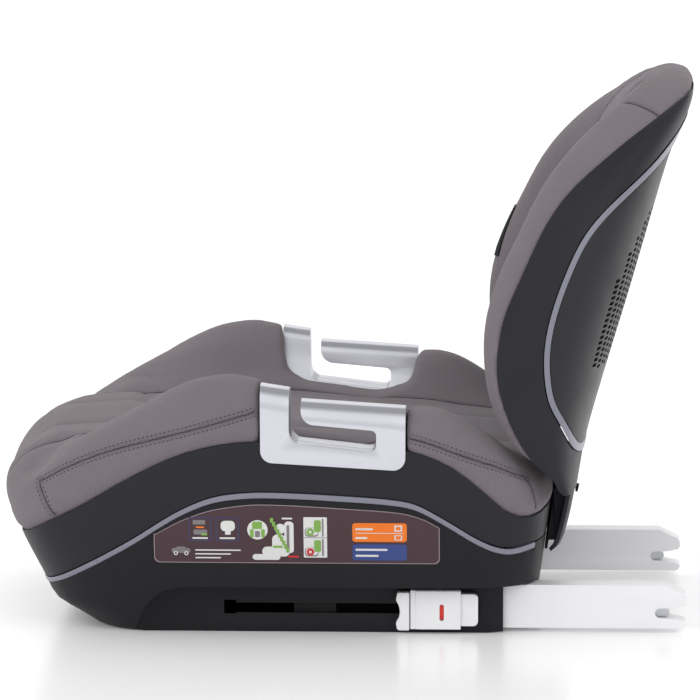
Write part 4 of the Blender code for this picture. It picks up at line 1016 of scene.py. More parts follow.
def evenly(points, spacing):
    """Points at equal spacing along a polyline."""
    points = [Vector(p) for p in points]
    walked = [0.0]
    for one, two in zip(points, points[1:]):
        walked.append(walked[-1] + (two - one).length)
    count = max(int(walked[-1] / spacing), 1)
    placed, index = [], 0
    for n in range(count + 1):
        goal = walked[-1] * n / count
        while index < len(points) - 2 and walked[index + 1] < goal:
            index += 1
        span = max(walked[index + 1] - walked[index], 1e-9)
        placed.append(points[index].lerp(points[index + 1], (goal - walked[index]) / span))
    return placed


def softened_line(points, rounds=3):
    """A polyline with its corners cut, so that a sewn line turns gently."""
    points = [Vector(p) for p in points]
    for _ in range(rounds):
        cut_line = [points[0]]
        for one, two in zip(points, points[1:]):
            cut_line += [one.lerp(two, 0.25), one.lerp(two, 0.75)]
        points = cut_line + [points[-1]]
    return points


def laid(tree, points):
    """Lays a line on the surface nearest to it, without small kinks: a list of (place, normal)."""
    spots = [tree.find_nearest(point)[0] for point in evenly(softened_line(points), LINE_SPACING)]
    line = []
    for index in range(len(spots)):
        near = spots[max(index - LINE_EVENING, 0):index + LINE_EVENING + 1]
        line.append(tree.find_nearest(sum(near, Vector()) / len(near))[:2])
    return line


def creased(obj, lines, depth, width, fine_depth=0.0006, fine_width=0.0016):
    """Pulls the surface in along sewn lines, and marks them in the attribute that paints shade into the
    fabric along the crease.
    """
    points = [hit for line in lines for hit, _ in line]
    kd = KDTree(len(points))
    for index, point in enumerate(points):
        kd.insert(point, index)
    kd.balance()
    mesh = obj.data
    crease_shade_marks = mesh.attributes.get("seam") or mesh.attributes.new("seam", "FLOAT", "POINT")
    normals = [v.normal.copy() for v in mesh.vertices]
    for index, vertex in enumerate(mesh.vertices):
        _, _, distance = kd.find(vertex.co)
        if distance < SEAM_SPREAD * width:
            pull = depth * math.exp(-((distance / width) ** 2))
            pull += fine_depth * math.exp(-((distance / fine_width) ** 2))
            vertex.co -= normals[index] * pull
            # Painted crease shade, strongest on the sewn line.
            mark = math.exp(-((distance / fine_width) ** 2))
            crease_shade_marks.data[index].value = max(crease_shade_marks.data[index].value, mark)


def thread_ring(bm, centre, side, up, radius, flat=1.0, swell=1.0):
    """Six points round the middle of a thread."""
    return [
        bm.verts.new(centre + (side * math.cos(t) + up * math.sin(t) * flat) * radius * swell)
        for t in (0, math.pi / 3, 2 * math.pi / 3, math.pi, 4 * math.pi / 3, 5 * math.pi / 3)
    ]


def direction_at(line, index):
    """The way a laid line runs at this point, not normalized."""
    return line[min(index + 1, len(line) - 1)][0] - line[max(index - 1, 0)][0]


def seam_shade_into(bm, line):
    """A thin dark tube along a sewn line, half sunk in the cloth, that paints the shade in the seam's fold.
    """
    rings = []
    for index in range(0, len(line), 2):
        hit, normal = line[index]
        along = direction_at(line, index)
        if along.length < 1e-9:
            continue
        rings.append(thread_ring(bm, hit, normal.cross(along).normalized(), normal, FOLD_SHADE_RADIUS, 0.6))
    skin(bm, rings)
    if len(rings) > 1:
        bm.faces.new(rings[0][::-1])
        bm.faces.new(rings[-1])


def stitch_into(bm, start, end):
    """One stitch: a closed little spindle of thread."""
    along = (end - start).normalized()
    side = along.orthogonal().normalized()
    up = along.cross(side)
    rings = [
        thread_ring(bm, start.lerp(end, share), side, up, THREAD_RADIUS, swell=swell)
        for share, swell in ((0.12, 0.7), (0.35, 1.0), (0.65, 1.0), (0.88, 0.7))
    ]
    skin(bm, rings)
    for tip, ring, flip in ((start, rings[0], True), (end, rings[-1], False)):
        point = bm.verts.new(tip)
        for i in range(6):
            j = (i + 1) % 6
            bm.faces.new((ring[j], ring[i], point) if flip else (ring[i], ring[j], point))


def stitched(name, tree, lines, offsets, folds):
    """Rows of thread beside sewn lines and dark tubes that paint the shade in the folds of the seams, lying
    on the surface.
    """
    bm = bmesh.new()
    for line in folds:
        seam_shade_into(bm, [tree.find_nearest(hit)[:2] for hit, _ in line])
    for line in lines:
        for offset in offsets:
            row = []
            for index, (hit, normal) in enumerate(line):
                across = normal.cross(direction_at(line, index))
                if across.length < 1e-9:
                    continue
                spot, surface, _, _ = tree.find_nearest(hit + across.normalized() * offset)
                row.append(spot + surface * (THREAD_RADIUS * 0.35))
            if len(row) < 4:
                continue
            spots = evenly(row, STITCH_PITCH)
            for one, two in zip(spots, spots[1:]):
                along = two - one
                if STITCH_PITCH * 0.5 <= along.length <= STITCH_PITCH * 1.6:
                    along.normalize()
                    middle = (one + two) / 2
                    half = along * STITCH_LENGTH / 2
                    stitch_into(bm, middle - half, middle + half)
    obj = added(name, bm)
    obj.data.shade_smooth()
    obj.data.materials.append(THREAD_AND_SEAM_SHADE)
    return obj


# ---------------------------------------------------------------- seat cushion

seat_z = smooth(
    [(-0.286, 0.144), (-0.262, 0.149), (-0.24, 0.1515), (-0.2, 0.1545), (-0.15, 0.158),
     (-0.05, 0.157), (0.05, 0.152), (0.13, 0.146), (0.172, 0.14)]
)
bolster_z = smooth(
    [(-0.286, 0.126), (-0.262, 0.135), (-0.2447, 0.144), (-0.23, 0.1525), (-0.207, 0.1655),
     (-0.1625, 0.1895), (-0.138, 0.203), (-0.114, 0.212), (-0.09, 0.215), (-0.066, 0.211),
     (0.052, 0.189), (0.07, 0.1895), (0.084, 0.1865), (0.1, 0.179), (0.12, 0.166), (0.145, 0.146),
     (0.172, 0.128)]
)
BOLSTER_INNER_X, BOLSTER_CROWN_X = 0.112, 0.172
CENTRE_PANEL_X, CENTRE_PANEL_RISE = 0.062, 0.006
EDGE_ROUND_IN, EDGE_ROUND_DOWN = 0.03, 0.034


def cushion_top(x, y):
    """The height of the cushion's upper surface, before its rim is rounded."""
    low = seat_z(y)
    bolster = ease((abs(x) - BOLSTER_INNER_X) / (BOLSTER_CROWN_X - BOLSTER_INNER_X))
    crown = CENTRE_PANEL_RISE * (1 - ease(abs(x) / CENTRE_PANEL_X))
    return low + crown + (bolster_z(y) - low) * bolster


def cushion_ring(inset, border):
    """One ring of the cushion's top, this far in from its rim."""
    ring = []
    for angle, low in zip(ring_angles(), border):
        x, y, _ = body_point(angle, 0.15)
        deepest = min(EDGE_ROUND_DOWN, 0.6 * (cushion_top(x, y) - low))
        x, y, _ = body_point(angle, 0.15, inset)
        t = min(inset / EDGE_ROUND_IN, 1.0)
        drop = deepest * (1 - math.sqrt(1 - (1 - t) ** 2))
        ring.append((x, y, cushion_top(x, y) - drop))
    return ring


def belt_way_outline():
    """The gap in the cushion's bolster, through which the belt comes to the guide."""
    floor = [(-0.064, 0.189), (-0.059, 0.173), (-0.045, 0.165), (0.018, 0.156), (0.046, 0.163),
             (0.051, 0.176)]
    return floor + [(0.051, 0.24), (-0.064, 0.24)]


def seat_cushion_form():
    """The closed form inside the seat's cover, drawn in where it tucks behind the skirt."""
    border = [height_on(border_z, a, 0.0) for a in ring_angles()]
    rim = cushion_ring(0.0, border)
    rings = []
    for inset, drop in ((0.06, 0.016), (0.016, 0.016), (0.006, 0.012), (0.0042, 0.006), (0.0038, 0.001),
                        (0.0014, -0.0014)):
        rings.append([body_point(a, z - drop, inset) for a, z in zip(ring_angles(), border)])
    for share in (0.14, 0.3, 0.5, 0.72, 1.0):
        bulge = -0.0022 * math.sin(math.pi * min(share * 0.9 + 0.1, 1.0))
        rings.append([
            body_point(a, low + 0.0014 + (top[2] - low - 0.0014) * share, bulge)
            for a, low, top in zip(ring_angles(), border, rim)
        ])
    insets = (0.002, 0.005, 0.009, 0.014, 0.02, 0.028, 0.038, 0.052, 0.072, 0.096, 0.124, 0.15, 0.162)
    rings += [cushion_ring(inset, border) for inset in insets]
    form = loft("seat_cover", rings)
    for _, side in SIDES:
        cut(form, prism_x("belt_way", belt_way_outline(), side * 0.118, side * 0.215))
    saddle = prism_x("saddle", grown(guide_block_outline(), 0.001), 0.1, 0.3)
    keep(saddle, guide_form("saddle_form", 0.0012))
    other_saddle = mirrored(saddle, "other_saddle")
    return cut(form, saddle, other_saddle)


def seat_freedom(x, y, z):
    """How freely the cover moves here: held at the skirt, under the backrest and round the guides."""
    above = ease((z - border_z(y)) / 0.034)
    guide = 1.0
    if abs(x) > 0.11:
        past = max(GUIDE_FRONT_Y - y, y - GUIDE_REAR_Y)
        guide = ease((past - 0.001) / 0.022)
    return above * guide * ease((0.15 - y) / 0.03)


SEAT_SIDE_SEAM = ((-0.249, 0.1285), (-0.241, 0.135), (-0.226, 0.143), (-0.194, 0.1545), (-0.1535, 0.1645),
                  (-0.113, 0.1745), (-0.067, 0.189), (-0.065, 0.1895))
SEAT_CORNER_SEAM = ((-0.232, 0.096), (-0.2395, 0.11), (-0.2465, 0.122), (-0.2505, 0.131), (-0.2515, 0.137))
SEAT_REAR_SEAM = ((0.053, 0.168), (0.072, 0.163), (0.0964, 0.1535), (0.1205, 0.146), (0.145, 0.1395),
                  (0.16, 0.136))
SEAT_REAR_CORNER_SEAM = ((0.155, 0.137), (0.1575, 0.125), (0.1575, 0.103))
SEAT_PANEL_SEAMS = (0.06, 0.119)


def side_line(side, seam):
    """A seam of the side, given as (y, z), as places close to the cover's surface."""
    return [(side * (side_x(y, z) + 0.001), y, z) for y, z in seam]


def panel_line(x):
    """A lengthways seam: up the front of the nose, over it and back across the seat."""
    nose = [(x, -0.276, 0.096), (x, -0.287, 0.113), (x, -0.289, 0.13), (x, -0.279, 0.144)]
    return nose + [(x, y, cushion_top(x, y) + 0.004) for y in samples(-0.262, 0.16, 24)]


def seat_cover():
    """The seat's sewn cover, with its seams, channels and rows of stitches."""
    cover = seat_cushion_form()
    puffed(cover, 0.0055, seat_freedom)
    tree = tree_of(cover)
    side_lines, fold_lines, panel_lines = [], [], []
    for _, side in SIDES:
        for seam in (SEAT_SIDE_SEAM, SEAT_REAR_SEAM, SEAT_CORNER_SEAM):
            side_lines.append(laid(tree, side_line(side, seam)))
        fold_lines.append(laid(tree, side_line(side, SEAT_REAR_CORNER_SEAM)))
        for x in SEAT_PANEL_SEAMS:
            panel_lines.append(laid(tree, panel_line(side * x)))
    creased(cover, side_lines + fold_lines, 0.001, 0.0045)
    creased(cover, panel_lines, 0.0022, 0.008, 0.0008, 0.002)
    stitches = stitched("seat_stitching", tree_of(cover), side_lines, (-STITCH_OFFSET, STITCH_OFFSET),
                        side_lines + fold_lines + panel_lines)
    cover.data.materials.append(COVER)
    hand_over(cover, "base", "cover_fabric", "seat_cushion")
    hand_over(stitches, "base", "cover_fabric")


# ---------------------------------------------------------------- backrest

back_half_width = smooth([(0.115, 0.187), (0.16, 0.19), (0.26, 0.189), (0.3, 0.184), (0.34, 0.172),
                          (0.38, 0.15), (0.41, 0.122), (0.43, 0.093), (0.445, 0.058), (0.4535, 0.022)])
back_rear_y = smooth([(0.046, 0.17), (0.062, 0.179), (0.128, 0.194), (0.143, 0.197), (0.207, 0.215),
                      (0.267, 0.233), (0.316, 0.247), (0.381, 0.266), (0.439, 0.286), (0.447, 0.284),
                      (0.4535, 0.27)])
BACK_BORDER = ((0.18, 0.118), (0.1624, 0.1362), (0.1454, 0.1592), (0.1345, 0.1815), (0.128, 0.202),
               (0.1256, 0.224), (0.1273, 0.243), (0.1313, 0.2622), (0.1445, 0.294), (0.16, 0.3275),
               (0.187, 0.3655), (0.2127, 0.3877), (0.234, 0.404), (0.2556, 0.419), (0.273, 0.431),
               (0.29, 0.441))
BACK_STRIP = ((0.21, 0.137), (0.1939, 0.149), (0.1856, 0.162), (0.1775, 0.1785), (0.171, 0.1915),
              (0.1675, 0.2056), (0.166, 0.222), (0.1664, 0.237), (0.1715, 0.2643), (0.185, 0.3019),
              (0.2033, 0.3339), (0.2243, 0.3551), (0.2487, 0.376), (0.266, 0.393), (0.276, 0.405),
              (0.29, 0.424))
back_border_y = flowing([(z, y) for y, z in BACK_BORDER])
back_strip_y = flowing([(z, y) for y, z in BACK_STRIP])
back_ridge_y = flowing([(0.115, 0.172), (0.1505, 0.142), (0.185, 0.1225), (0.2045, 0.117), (0.227, 0.1145),
                        (0.247, 0.1145), (0.273, 0.119), (0.3, 0.1285), (0.33, 0.143), (0.367, 0.1625),
                        (0.394, 0.184), (0.415, 0.207), (0.43, 0.2265), (0.4447, 0.246), (0.4535, 0.264)])
back_front_y = smooth([(0.115, 0.15), (0.15, 0.144), (0.18, 0.149), (0.22, 0.1595), (0.3, 0.18),
                       (0.34, 0.189), (0.3755, 0.1985), (0.4, 0.2085), (0.4285, 0.226), (0.44, 0.24),
                       (0.448, 0.254), (0.4535, 0.268)])
BACK_REAR_POWER = 3.0
BACK_LEVELS = [*samples(0.115, 0.42, 39), 0.427, 0.433, 0.439, 0.444, 0.448, 0.4515, 0.4535]
PAN_DEPTH = 0.024
PAN_TURN_Z, PAN_TOP_Z = 0.398, 0.4245


def back_ring(z, inset=0.0):
    """A level section of the backrest: a deep rounded rear and a shallow front."""
    half = max(back_half_width(z) - inset, 0.004)
    seam = min(back_border_y(z), back_rear_y(z) - 0.008)
    reach = max(back_rear_y(z) - seam - inset, 0.002)
    ring = []
    for a in samples(0, math.pi, 61):
        c, d = math.cos(a), max(math.sin(a), 0.0)
        side = math.copysign(abs(c) ** (2 / BACK_REAR_POWER), c)
        ring.append((half * side, seam + reach * d ** (2 / BACK_REAR_POWER), z))
    ring[0], ring[-1] = (half, seam, z), (-half, seam, z)
    return ring + [(-half, seam - 0.03, z), (half, seam - 0.03, z)]


def back_solid(name, inset=0.0, stretch=0.0):
    """The backrest's outer form, drawn in by inset and carried on below its foot by stretch."""
    rings = [back_ring(z, inset) for z in BACK_LEVELS]
    if stretch:
        rings.insert(0, [(x, y, z - stretch) for x, y, z in rings[0]])
    return loft(name, rings)


def curved(line):
    """A backrest line drawn as a smooth curve, as (y, z) points."""
    curve = back_border_y if line is BACK_BORDER else back_strip_y
    return [(curve(z), z) for z in samples(line[0][1], line[-1][1], 90)]


def behind(line, distance):
    """A cutter for everything on the rear side of a backrest line."""
    edge = shifted(curved(line), distance)
    return prism_x("behind", edge + [(0.4, edge[-1][1]), (0.4, edge[0][1])], -BEYOND, BEYOND)


def pan_y(x, z):
    """The front face of the pan behind the backrest's cushion; its top edge turns back to the shell."""
    t = abs(x) / back_half_width(z)
    deepest = back_rear_y(z) - 0.016
    side = min(back_strip_y(z - 0.01), back_strip_y(z)) - 0.01
    side = min(side, deepest)
    middle = min(back_front_y(z) + PAN_DEPTH, deepest)
    bowed = middle + (side - middle) * ease((t - 0.55) / 0.4)
    turn = ease((z - PAN_TURN_Z) / (PAN_TOP_Z - PAN_TURN_Z))
    return bowed + (back_rear_y(z) - 0.0045 - bowed) * turn


def back_pan():
    """The plate behind the backrest's cushion."""
    rings = []
    for z in samples(0.128, PAN_TOP_Z, 22):
        xs = [share * back_half_width(z) for share in samples(-1, 1, 25)]
        rings.append([(x, pan_y(x, z), z) for x in xs] + [(x, pan_y(x, z) + WALL, z) for x in reversed(xs)])
    return loft("pan", rings)


def seat_clearance():
    """Room above the seat cushion, which every backrest piece keeps clear of."""
    rear_low = [(0.09, 0.1), (0.178, 0.1)]
    sides = [(0.178, 0.1165), (0.172, 0.13), (0.16, 0.1405), (0.145, 0.152), (0.12, 0.173),
             (0.1, 0.187), (0.09, 0.193)]
    middle = [(0.178, 0.1165), (0.171, 0.137), (0.163, 0.15), (0.15, 0.156), (0.12, 0.1735),
              (0.09, 0.1935)]
    room = prism_x("seat_clearance", rear_low + sides, -BEYOND, BEYOND)
    return join(room, prism_x("middle", rear_low + middle, -0.145, 0.145))


def tongue_rear(z):
    """How far back the tongue's rear face is at this height."""
    return back_rear_y(z) - GAP


def tongue_bow(x):
    """How far the tongue bends forward at this distance from its middle."""
    return TONGUE_BOW * (x / TONGUE_HALF) ** 6


def backrest_wings():
    """The wings, the tongue below them and the pan behind the cushion."""
    shell = back_solid("backrest_wings")
    cut(shell, back_solid("hollow", WALL, 0.02))
    keep(shell, behind(BACK_BORDER, 0.0))
    cut(shell, behind(BACK_STRIP, BACK_STRIP_HALF + 0.001))
    cut(shell, seat_clearance())
    levels = samples(0.07, 0.15, 13)
    outer = [(0.174, 0.06), (0.1785, 0.064)] + [(tongue_rear(z), z) for z in levels]
    inner = [(tongue_rear(z) - TONGUE_THICKNESS, z) for z in reversed(levels)] + [(0.1755, 0.066),
                                                                                  (0.1725, 0.063)]
    tongue = loft("tongue", [
        [(x, y - tongue_bow(x), z) for y, z in outer + inner]
        for x in samples(-TONGUE_HALF, TONGUE_HALF, 19)
    ])
    cut(tongue, seat_clearance())
    finished(shell, SHELL, 0.0006, 38, 2)
    finished(tongue, SHELL, 0.0006, 38, 2)
    pan = keep(back_pan(), back_solid("pan_edge", WALL + 0.0002, 0.02))
    cut(pan, seat_clearance())
    finished(pan, TUB)
    hand_over(shell, "backrest", "shell_black", "backrest_shell")
    hand_over(tongue, "backrest", "shell_black")
    hand_over(pan, "backrest", "shell_black")


def hinge_gaiter():
    """The black pleated cloth between the base's rear wall and the backrest's tongue."""
    half, low, high, pleat_depth = 0.108, 0.069, 0.112, 0.0008
    rings = []
    for x in samples(-half, half, 13):
        front, rear = [], []
        for index, z in enumerate(samples(low, high, 23)):
            pleat = pleat_depth if index % 2 else 0.0
            front.append((x, rear_y(z) + 0.0008 + pleat, z))
            rear.append((x, tongue_rear(z) - tongue_bow(x) - TONGUE_THICKNESS - 0.0007 - pleat, z))
        rings.append(front + rear[::-1])
    gaiter = loft("hinge_gaiter", rings)
    finished(gaiter, TAG, 0.0, 60)
    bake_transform(gaiter)


def vent_slots():
    """Cutters for staggered slots through the rear cover, in a field that narrows upwards."""
    field_top = smooth([(0.0, 0.35), (0.09, 0.338), (0.11, 0.325), (0.13, 0.303), (0.15, 0.27)])
    field_foot, width, height, across, up = 0.216, 0.0092, 0.0029, 0.0125, 0.0046
    slots = []
    for column in range(-11, 12):
        x = column * across
        z = field_foot + (up / 2 if column % 2 else 0.0)
        while z < field_top(abs(x)):
            outline = arc((x + width / 2 - height / 2, z), height / 2, -90, 90, 5) \
                + arc((x - width / 2 + height / 2, z), height / 2, 90, 270, 5)
            slots.append(prism_y("slot", outline, 0.15, 0.3))
            z += up
    return merged("slots", slots)


def rear_cover():
    """The perforated panel inside the grey strip."""
    panel = back_solid("backrest_rear_cover")
    cut(panel, back_solid("hollow", 0.0022, 0.02))
    keep(panel, behind(BACK_STRIP, -BACK_STRIP_HALF - GAP))
    finished(panel, REAR, 0.0005, 38, 2)
    cut(panel, vent_slots())
    finished(panel, REAR, 0.0, 38)
    hand_over(panel, "backrest", "shell_black", "backrest_panel")


def rear_strip():
    """The satin grey strip between the wings and the perforated panel."""
    trim = back_solid("backrest_strip", -STRIP_PROUD)
    cut(trim, back_solid("hollow", WALL, 0.02))
    line = curved(BACK_STRIP)
    outline = shifted(line, BACK_STRIP_HALF) + shifted(line, -BACK_STRIP_HALF)[::-1]
    keep(trim, prism_x("band", outline, -BEYOND, BEYOND))
    finished(trim, TRIM, 0.0006, 38, 3)
    hand_over(trim, "backrest", "trim_grey", "backrest_trim")


FLAT_SHARE, RIDGE_SHARE = 0.48, 0.88
FACE_SHARES = (0.0, 0.1, 0.2, 0.3, 0.4, 0.47, 0.53, 0.59, 0.65, 0.71, 0.76, 0.8, 0.84, 0.88, 0.91, 0.935,
               0.955, 0.972, 0.985, 0.994, 1.0)


def cushion_face_y(share, z):
    """The cushion's face at this share of its half width.

    It is flat in the middle, rises to the bolster's ridge and rounds off to the wings' border.
    """
    middle, ridge = back_front_y(z), min(back_ridge_y(z), back_front_y(z))
    if share <= RIDGE_SHARE:
        return middle + (ridge - middle) * ease((share - FLAT_SHARE) / (RIDGE_SHARE - FLAT_SHARE))
    t = (share - RIDGE_SHARE) / (1 - RIDGE_SHARE)
    edge = max(min(back_border_y(z), back_rear_y(z) - 0.004), ridge)
    return ridge + (edge - ridge) * (1 - math.sqrt(max(1 - t * t, 0.0)))


def back_hull():
    """The backrest's outline with room in front of it, which rounds the cushion's rear top edge."""
    rings = []
    for z in BACK_LEVELS:
        ring = back_ring(z)
        rings.append(ring[:-2] + [(x, 0.05, z) for x, _, _ in ring[-2:]])
    return loft("hull", rings)


def back_cushion_form():
    shares = [-share for share in reversed(FACE_SHARES[1:])] + list(FACE_SHARES)
    rings = []
    for z in [0.1285] + [level for level in BACK_LEVELS if level > 0.135]:
        half = back_half_width(z)
        face = [(share * half, cushion_face_y(abs(share), z), z) for share in shares]
        back = [(x, max(pan_y(x, z) - GAP if z <= PAN_TOP_Z else back_rear_y(z), y + 0.002), z)
                for x, y, z in reversed(face)]
        rings.append(face + back)
    cushion = loft("back_cover", rings)
    keep(cushion, back_hull())
    rear_zone = cut(behind(BACK_BORDER, 0.0004), back_solid("core", WALL + GAP, 0.02))
    return cut(cushion, rear_zone, seat_clearance())


def back_freedom(_, y, z):
    """How freely the cover moves here: held along the wings' edge and at its foot, free on the face."""
    front = ease((back_border_y(z) - y - 0.001) / 0.016)
    return front * ease((z - 0.15) / 0.02)


BACK_CENTRE_SEAM = 0.52
BACK_TOP_SEAM = ((0.083, 0.229, 0.423), (0.09, 0.236, 0.426), (0.099, 0.245, 0.4255),
                 (0.109, 0.257, 0.42))


def back_cover():
    """The backrest's sewn cover, with its seams and stitches."""
    cover = back_cushion_form()
    puffed(cover, 0.005, back_freedom)
    tree = tree_of(cover)
    lines, tops = [], []
    for _, side in SIDES:
        lines.append(laid(tree, [
            (side * BACK_CENTRE_SEAM * back_half_width(z), cushion_face_y(BACK_CENTRE_SEAM, z) - 0.004, z)
            for z in samples(0.15, 0.446, 40)
        ]))
        tops.append(laid(tree, [(side * x, y, z) for x, y, z in BACK_TOP_SEAM]))
    creased(cover, lines, 0.002, 0.007, 0.0008, 0.002)
    across = laid(tree, [(x, cushion_face_y(0.3, 0.172) - 0.004, 0.169 + 0.003 * abs(x) / 0.095)
                         for x in samples(-0.095, 0.095, 9)])
    creased(cover, [across, *tops], 0.001, 0.005, 0.0006, 0.0018)
    stitches = stitched("back_stitching", tree_of(cover), lines, (STITCH_OFFSET,), [*lines, across, *tops])
    cover.data.materials.append(COVER)
    hand_over(cover, "backrest", "cover_fabric", "backrest_cushion")
    hand_over(stitches, "backrest", "cover_fabric")
    return cover


def sewn_tag(tree):
    """The small blank tag sewn on the right-hand bolster's front edge."""
    rows = []
    for z in samples(0.2735, 0.3176, 14):
        front = []
        for x in samples(-0.169, -0.154, 9):
            hit, _, _, _ = tree.ray_cast(Vector((x, 0.0, z)), Vector((0, 1, 0)))
            front.append((x, hit.y - 0.0012, z))
        rows.append(front + [(x, y + 0.0026, z) for x, y, z in reversed(front)])
    tag = loft("sewn_tag", rows)
    finished(tag, TAG, 0.0, 50)
    hand_over(tag, "backrest", "tag_black", "backrest_tag")


# ---------------------------------------------------------------- connectors and sliders

def connector_outline():
    """The connector seen from the side, as (y, z): a bar with a notch for the anchor at its rear end."""
    low, high = CONNECTOR_Z
    tip = CONNECTOR_TIP_Y
    nose = arc((tip - 0.005, high - 0.0115), 0.005, 55, 0, 8)
    upper_jaw = [(tip, 0.0245), (tip - 0.0015, 0.0225), (0.268, 0.0203)]
    seat = arc(NOTCH_CENTRE, NOTCH_RADIUS, 90, 270, 16)
    lower_jaw = [(0.266, 0.0116), (0.2755, 0.01), (tip - 0.0005, 0.0088)]
    toe = arc((tip - 0.0045, low + 0.0045), 0.0045, 0, -90, 8)
    return [(CONNECTOR_FRONT_Y, low), (CONNECTOR_FRONT_Y, high), (0.2625, high)] + nose + upper_jaw + seat \
        + lower_jaw + toe


def connector_cover(side_name, side):
    """The white connector arm with its rooms for the latch, and the carrier at its front end in near-black,
    painted shade for the inside of the slot.
    """
    x0, x1 = CONNECTOR_X - CONNECTOR_HALF, CONNECTOR_X + CONNECTOR_HALF
    arm = prism_x(f"connector_arm_{side_name}", connector_outline(), x0, x1)
    pusher_room = [(0.22, 0.0117), (0.262, 0.0117), (0.262, 0.0201), (0.22, 0.0201)]
    hook_room = [(0.241, 0.025), (0.257, 0.0197), (0.2772, 0.0197), (0.2772, 0.0295), (0.27, 0.033),
                 (0.262, 0.0362), (0.241, 0.0362)]
    cut(arm, prism_x("pusher_room", pusher_room, CONNECTOR_X - 0.0046, CONNECTOR_X + 0.0046))
    cut(arm, prism_x("hook_room", hook_room, CONNECTOR_X - 0.0032, CONNECTOR_X + 0.0032))
    cut(arm, box("link_room", (0.144, 0.0595, 0.0162), (0.18, 0.0825, 0.023)))
    front_end = (0.1, -0.1, -0.01), (0.2, 0.106, 0.06)
    carrier = keep(merged(f"connector_carrier_{side_name}", [arm], False), box("front_end", *front_end))
    cut(arm, box("front_end", *front_end))
    finished(arm, WHITE, 0.0011, 30, 3)
    finished(carrier, SLOT_SHADE_BLACK, 0.0008, 30, 2)
    for piece, slot, nodes in ((arm, "connector_white", [f"connector_housing_{side_name}"]),
                               (carrier, "shell_black", [])):
        if side < 0:
            flipped(piece)
        hand_over(piece, f"connector_{side_name}", slot, *nodes)


def slider(side_name, side):
    """The slider gripped on the base's side: block with window, hollowed grip and rear button."""
    block = box(f"slider_body_{side_name}", (0.1575, 0.0556, 0.0045), (0.1688, 0.0966, 0.0365))
    cut(block, box("socket", (0.1586, 0.0855, 0.0066), (0.1676, 0.11, 0.0338)))
    cut(block, box("indicator_room", (0.164, 0.0735, 0.0115), (0.1674, 0.0842, 0.0251)))
    cut(block, box("link_room", (0.144, 0.0596, 0.0162), (0.1622, 0.0824, 0.023)))
    cut(block, box("step", (0.168, 0.05, 0.001), (0.175, 0.06, 0.04)))
    cut(block, prism_y("upper_chamfer", [(0.1675, 0.037), (0.17, 0.0345), (0.17, 0.037)], 0.05, 0.1))
    finished(block, WHITE, 0.0005, 30, 3)
    window_y, window_z, window_radius = 0.0812, 0.0183, 0.0018
    window = arc((window_y, window_z + 0.005), window_radius, 0, 180, 12) \
        + arc((window_y, window_z - 0.005), window_radius, 180, 360, 12)
    cut(block, prism_x("window", window, 0.166, 0.2))
    hollow = arc((0.032, 0.019), 0.015, -38, 38, 20)
    outline = [(0.0447, 0.0048), (0.046, 0.0036), (0.0548, 0.0036), (0.0548, 0.035), (0.046, 0.035),
               (0.0447, 0.0338)] + hollow[::-1]
    grip = prism_x(f"slider_handle_{side_name}", outline, 0.1577, 0.1698)
    finished(grip, WHITE, 0.0009, 30, 3)
    low, high = 0.007, 0.0334
    tab = [(0.0915, low), (0.1067, low)] + arc((0.1067, low + 0.004), 0.004, -85, 0, 10)
    tab += arc((0.1067, high - 0.004), 0.004, 0, 85, 10) + [(0.1067, high), (0.0915, high)]
    button = prism_x(f"release_tab_{side_name}", tab, 0.1592, 0.167)
    finished(button, WHITE, 0.0005, 30, 2)
    pieces = [(block, f"connector_{side_name}", f"slider_block_{side_name}"),
              (grip, f"connector_{side_name}", f"slider_grip_{side_name}"),
              (button, f"button_{side_name}", f"release_button_{side_name}")]
    for piece, body, node in pieces:
        if side < 0:
            flipped(piece)
        hand_over(piece, body, "connector_white", node)


# ---------------------------------------------------------------- CAD nodes that stay

def carried_over():
    """Gives the CAD nodes that stay a finished material."""
    dark = ("rail_crossbar", "hinge_bracket", "hinge_arm", "connector_core", "hinge_pin", "backrest_screw")
    # The rail and the link seen through the slot get the near-black of the painted slot shade.
    finishes = {"lock_indicator": RED, "guide_rail": SLOT_SHADE_BLACK, "slider_link": SLOT_SHADE_BLACK,
                **dict.fromkeys(dark, DARK_STEEL)}
    for name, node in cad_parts.items():
        if node.hide_render:
            continue
        stem = name.rsplit("_", 1)[0] if name.endswith(("_left", "_right")) else name
        node.data.materials.clear()
        node.data.materials.append(finishes.get(stem, STEEL))


# ---------------------------------------------------------------- studio

CAMERA_AZIMUTH_DEG, CAMERA_ELEVATION_DEG = 2.2, 7.52
CAMERA_TARGET, CAMERA_DISTANCE, CAMERA_LENS_MM = Vector((0.0, 0.0, 0.2115)), 4.76, 291.5
LIT_POINT, LIGHT_SIZE = Vector((0, 0, 0.15)), 1.8


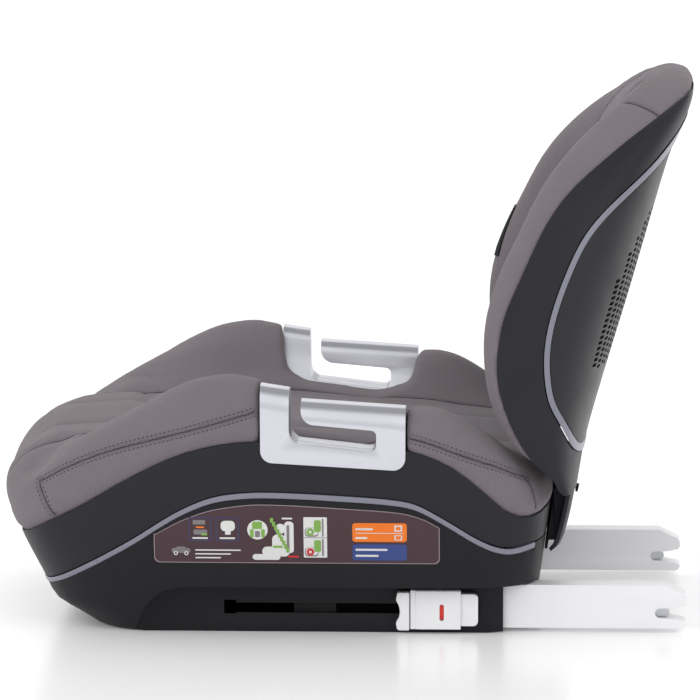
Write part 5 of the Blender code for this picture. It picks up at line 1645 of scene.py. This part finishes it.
def studio():
    """The pale floor, the soft light and the camera at the photograph's angle."""
    scene = bpy.context.scene
    scene.view_settings.view_transform = "Standard"
    world = bpy.data.worlds.new("studio")
    scene.world = world
    world.use_nodes = True
    nodes, links = world.node_tree.nodes, world.node_tree.links
    split = nodes.new("ShaderNodeSeparateXYZ")
    links.new(nodes.new("ShaderNodeTexCoord").outputs["Generated"], split.inputs["Vector"])
    ceiling = nodes.new("ShaderNodeMapRange")
    ceiling.interpolation_type = "SMOOTHSTEP"
    for name, value in (("From Min", 0.7), ("From Max", 0.86), ("To Min", 1.12), ("To Max", 0.85)):
        ceiling.inputs[name].default_value = value
    links.new(split.outputs["Z"], ceiling.inputs["Value"])
    links.new(ceiling.outputs["Result"], nodes["Background"].inputs["Strength"])
    nodes["Background"].inputs["Color"].default_value = (1.0, 1.0, 1.0, 1.0)

    bm = bmesh.new()
    bmesh.ops.create_grid(bm, x_segments=1, y_segments=1, size=14.0)
    floor = build("floor", bm)
    finish = Finish("floor_pale", (0.975, 0.975, 0.98), 0.22)
    finish.tint(finish.noise(0.6, 1.0), 0.995, 1.0)
    socket(finish.shader, "Specular IOR Level", 0.35)
    socket(finish.shader, "Emission Color", (1.0, 1.0, 1.0, 1.0))
    socket(finish.shader, "Emission Strength", 0.1)
    floor.data.materials.append(finish.material)
    floor.location.z = -0.0002

    for name, place, power in (("key", (2.0, -2.4, 2.4), 20.0), ("fill", (2.6, 2.2, 1.6), 9.0)):
        data = bpy.data.lights.new(name, "AREA")
        data.shape = "SQUARE"
        data.size = LIGHT_SIZE
        data.energy = power
        light = bpy.data.objects.new(name, data)
        light.location = place
        light.rotation_euler = (LIT_POINT - Vector(place)).to_track_quat("-Z", "Y").to_euler()
        scene.collection.objects.link(light)

    azimuth, elevation = math.radians(CAMERA_AZIMUTH_DEG), math.radians(CAMERA_ELEVATION_DEG)
    back = Vector((math.cos(azimuth) * math.cos(elevation), math.sin(azimuth) * math.cos(elevation),
                   math.sin(elevation)))
    lens = bpy.data.cameras.new("camera")
    lens.lens = CAMERA_LENS_MM
    lens.sensor_width = 36.0
    lens.clip_end = 60.0
    camera = bpy.data.objects.new("camera", lens)
    camera.location = CAMERA_TARGET + back * CAMERA_DISTANCE
    camera.rotation_euler = (-back).to_track_quat("-Z", "Y").to_euler()
    scene.collection.objects.link(camera)
    scene.camera = camera


# ---------------------------------------------------------------- making

studio()
lower_tub()
skirt()
strips()
labels()
belt_guides()
seat_cover()
backrest_wings()
hinge_gaiter()
rear_cover()
rear_strip()
sewn_tag(tree_of(back_cover()))
for side_name, side_sign in SIDES:
    connector_cover(side_name, side_sign)
    slider(side_name, side_sign)
carried_over()
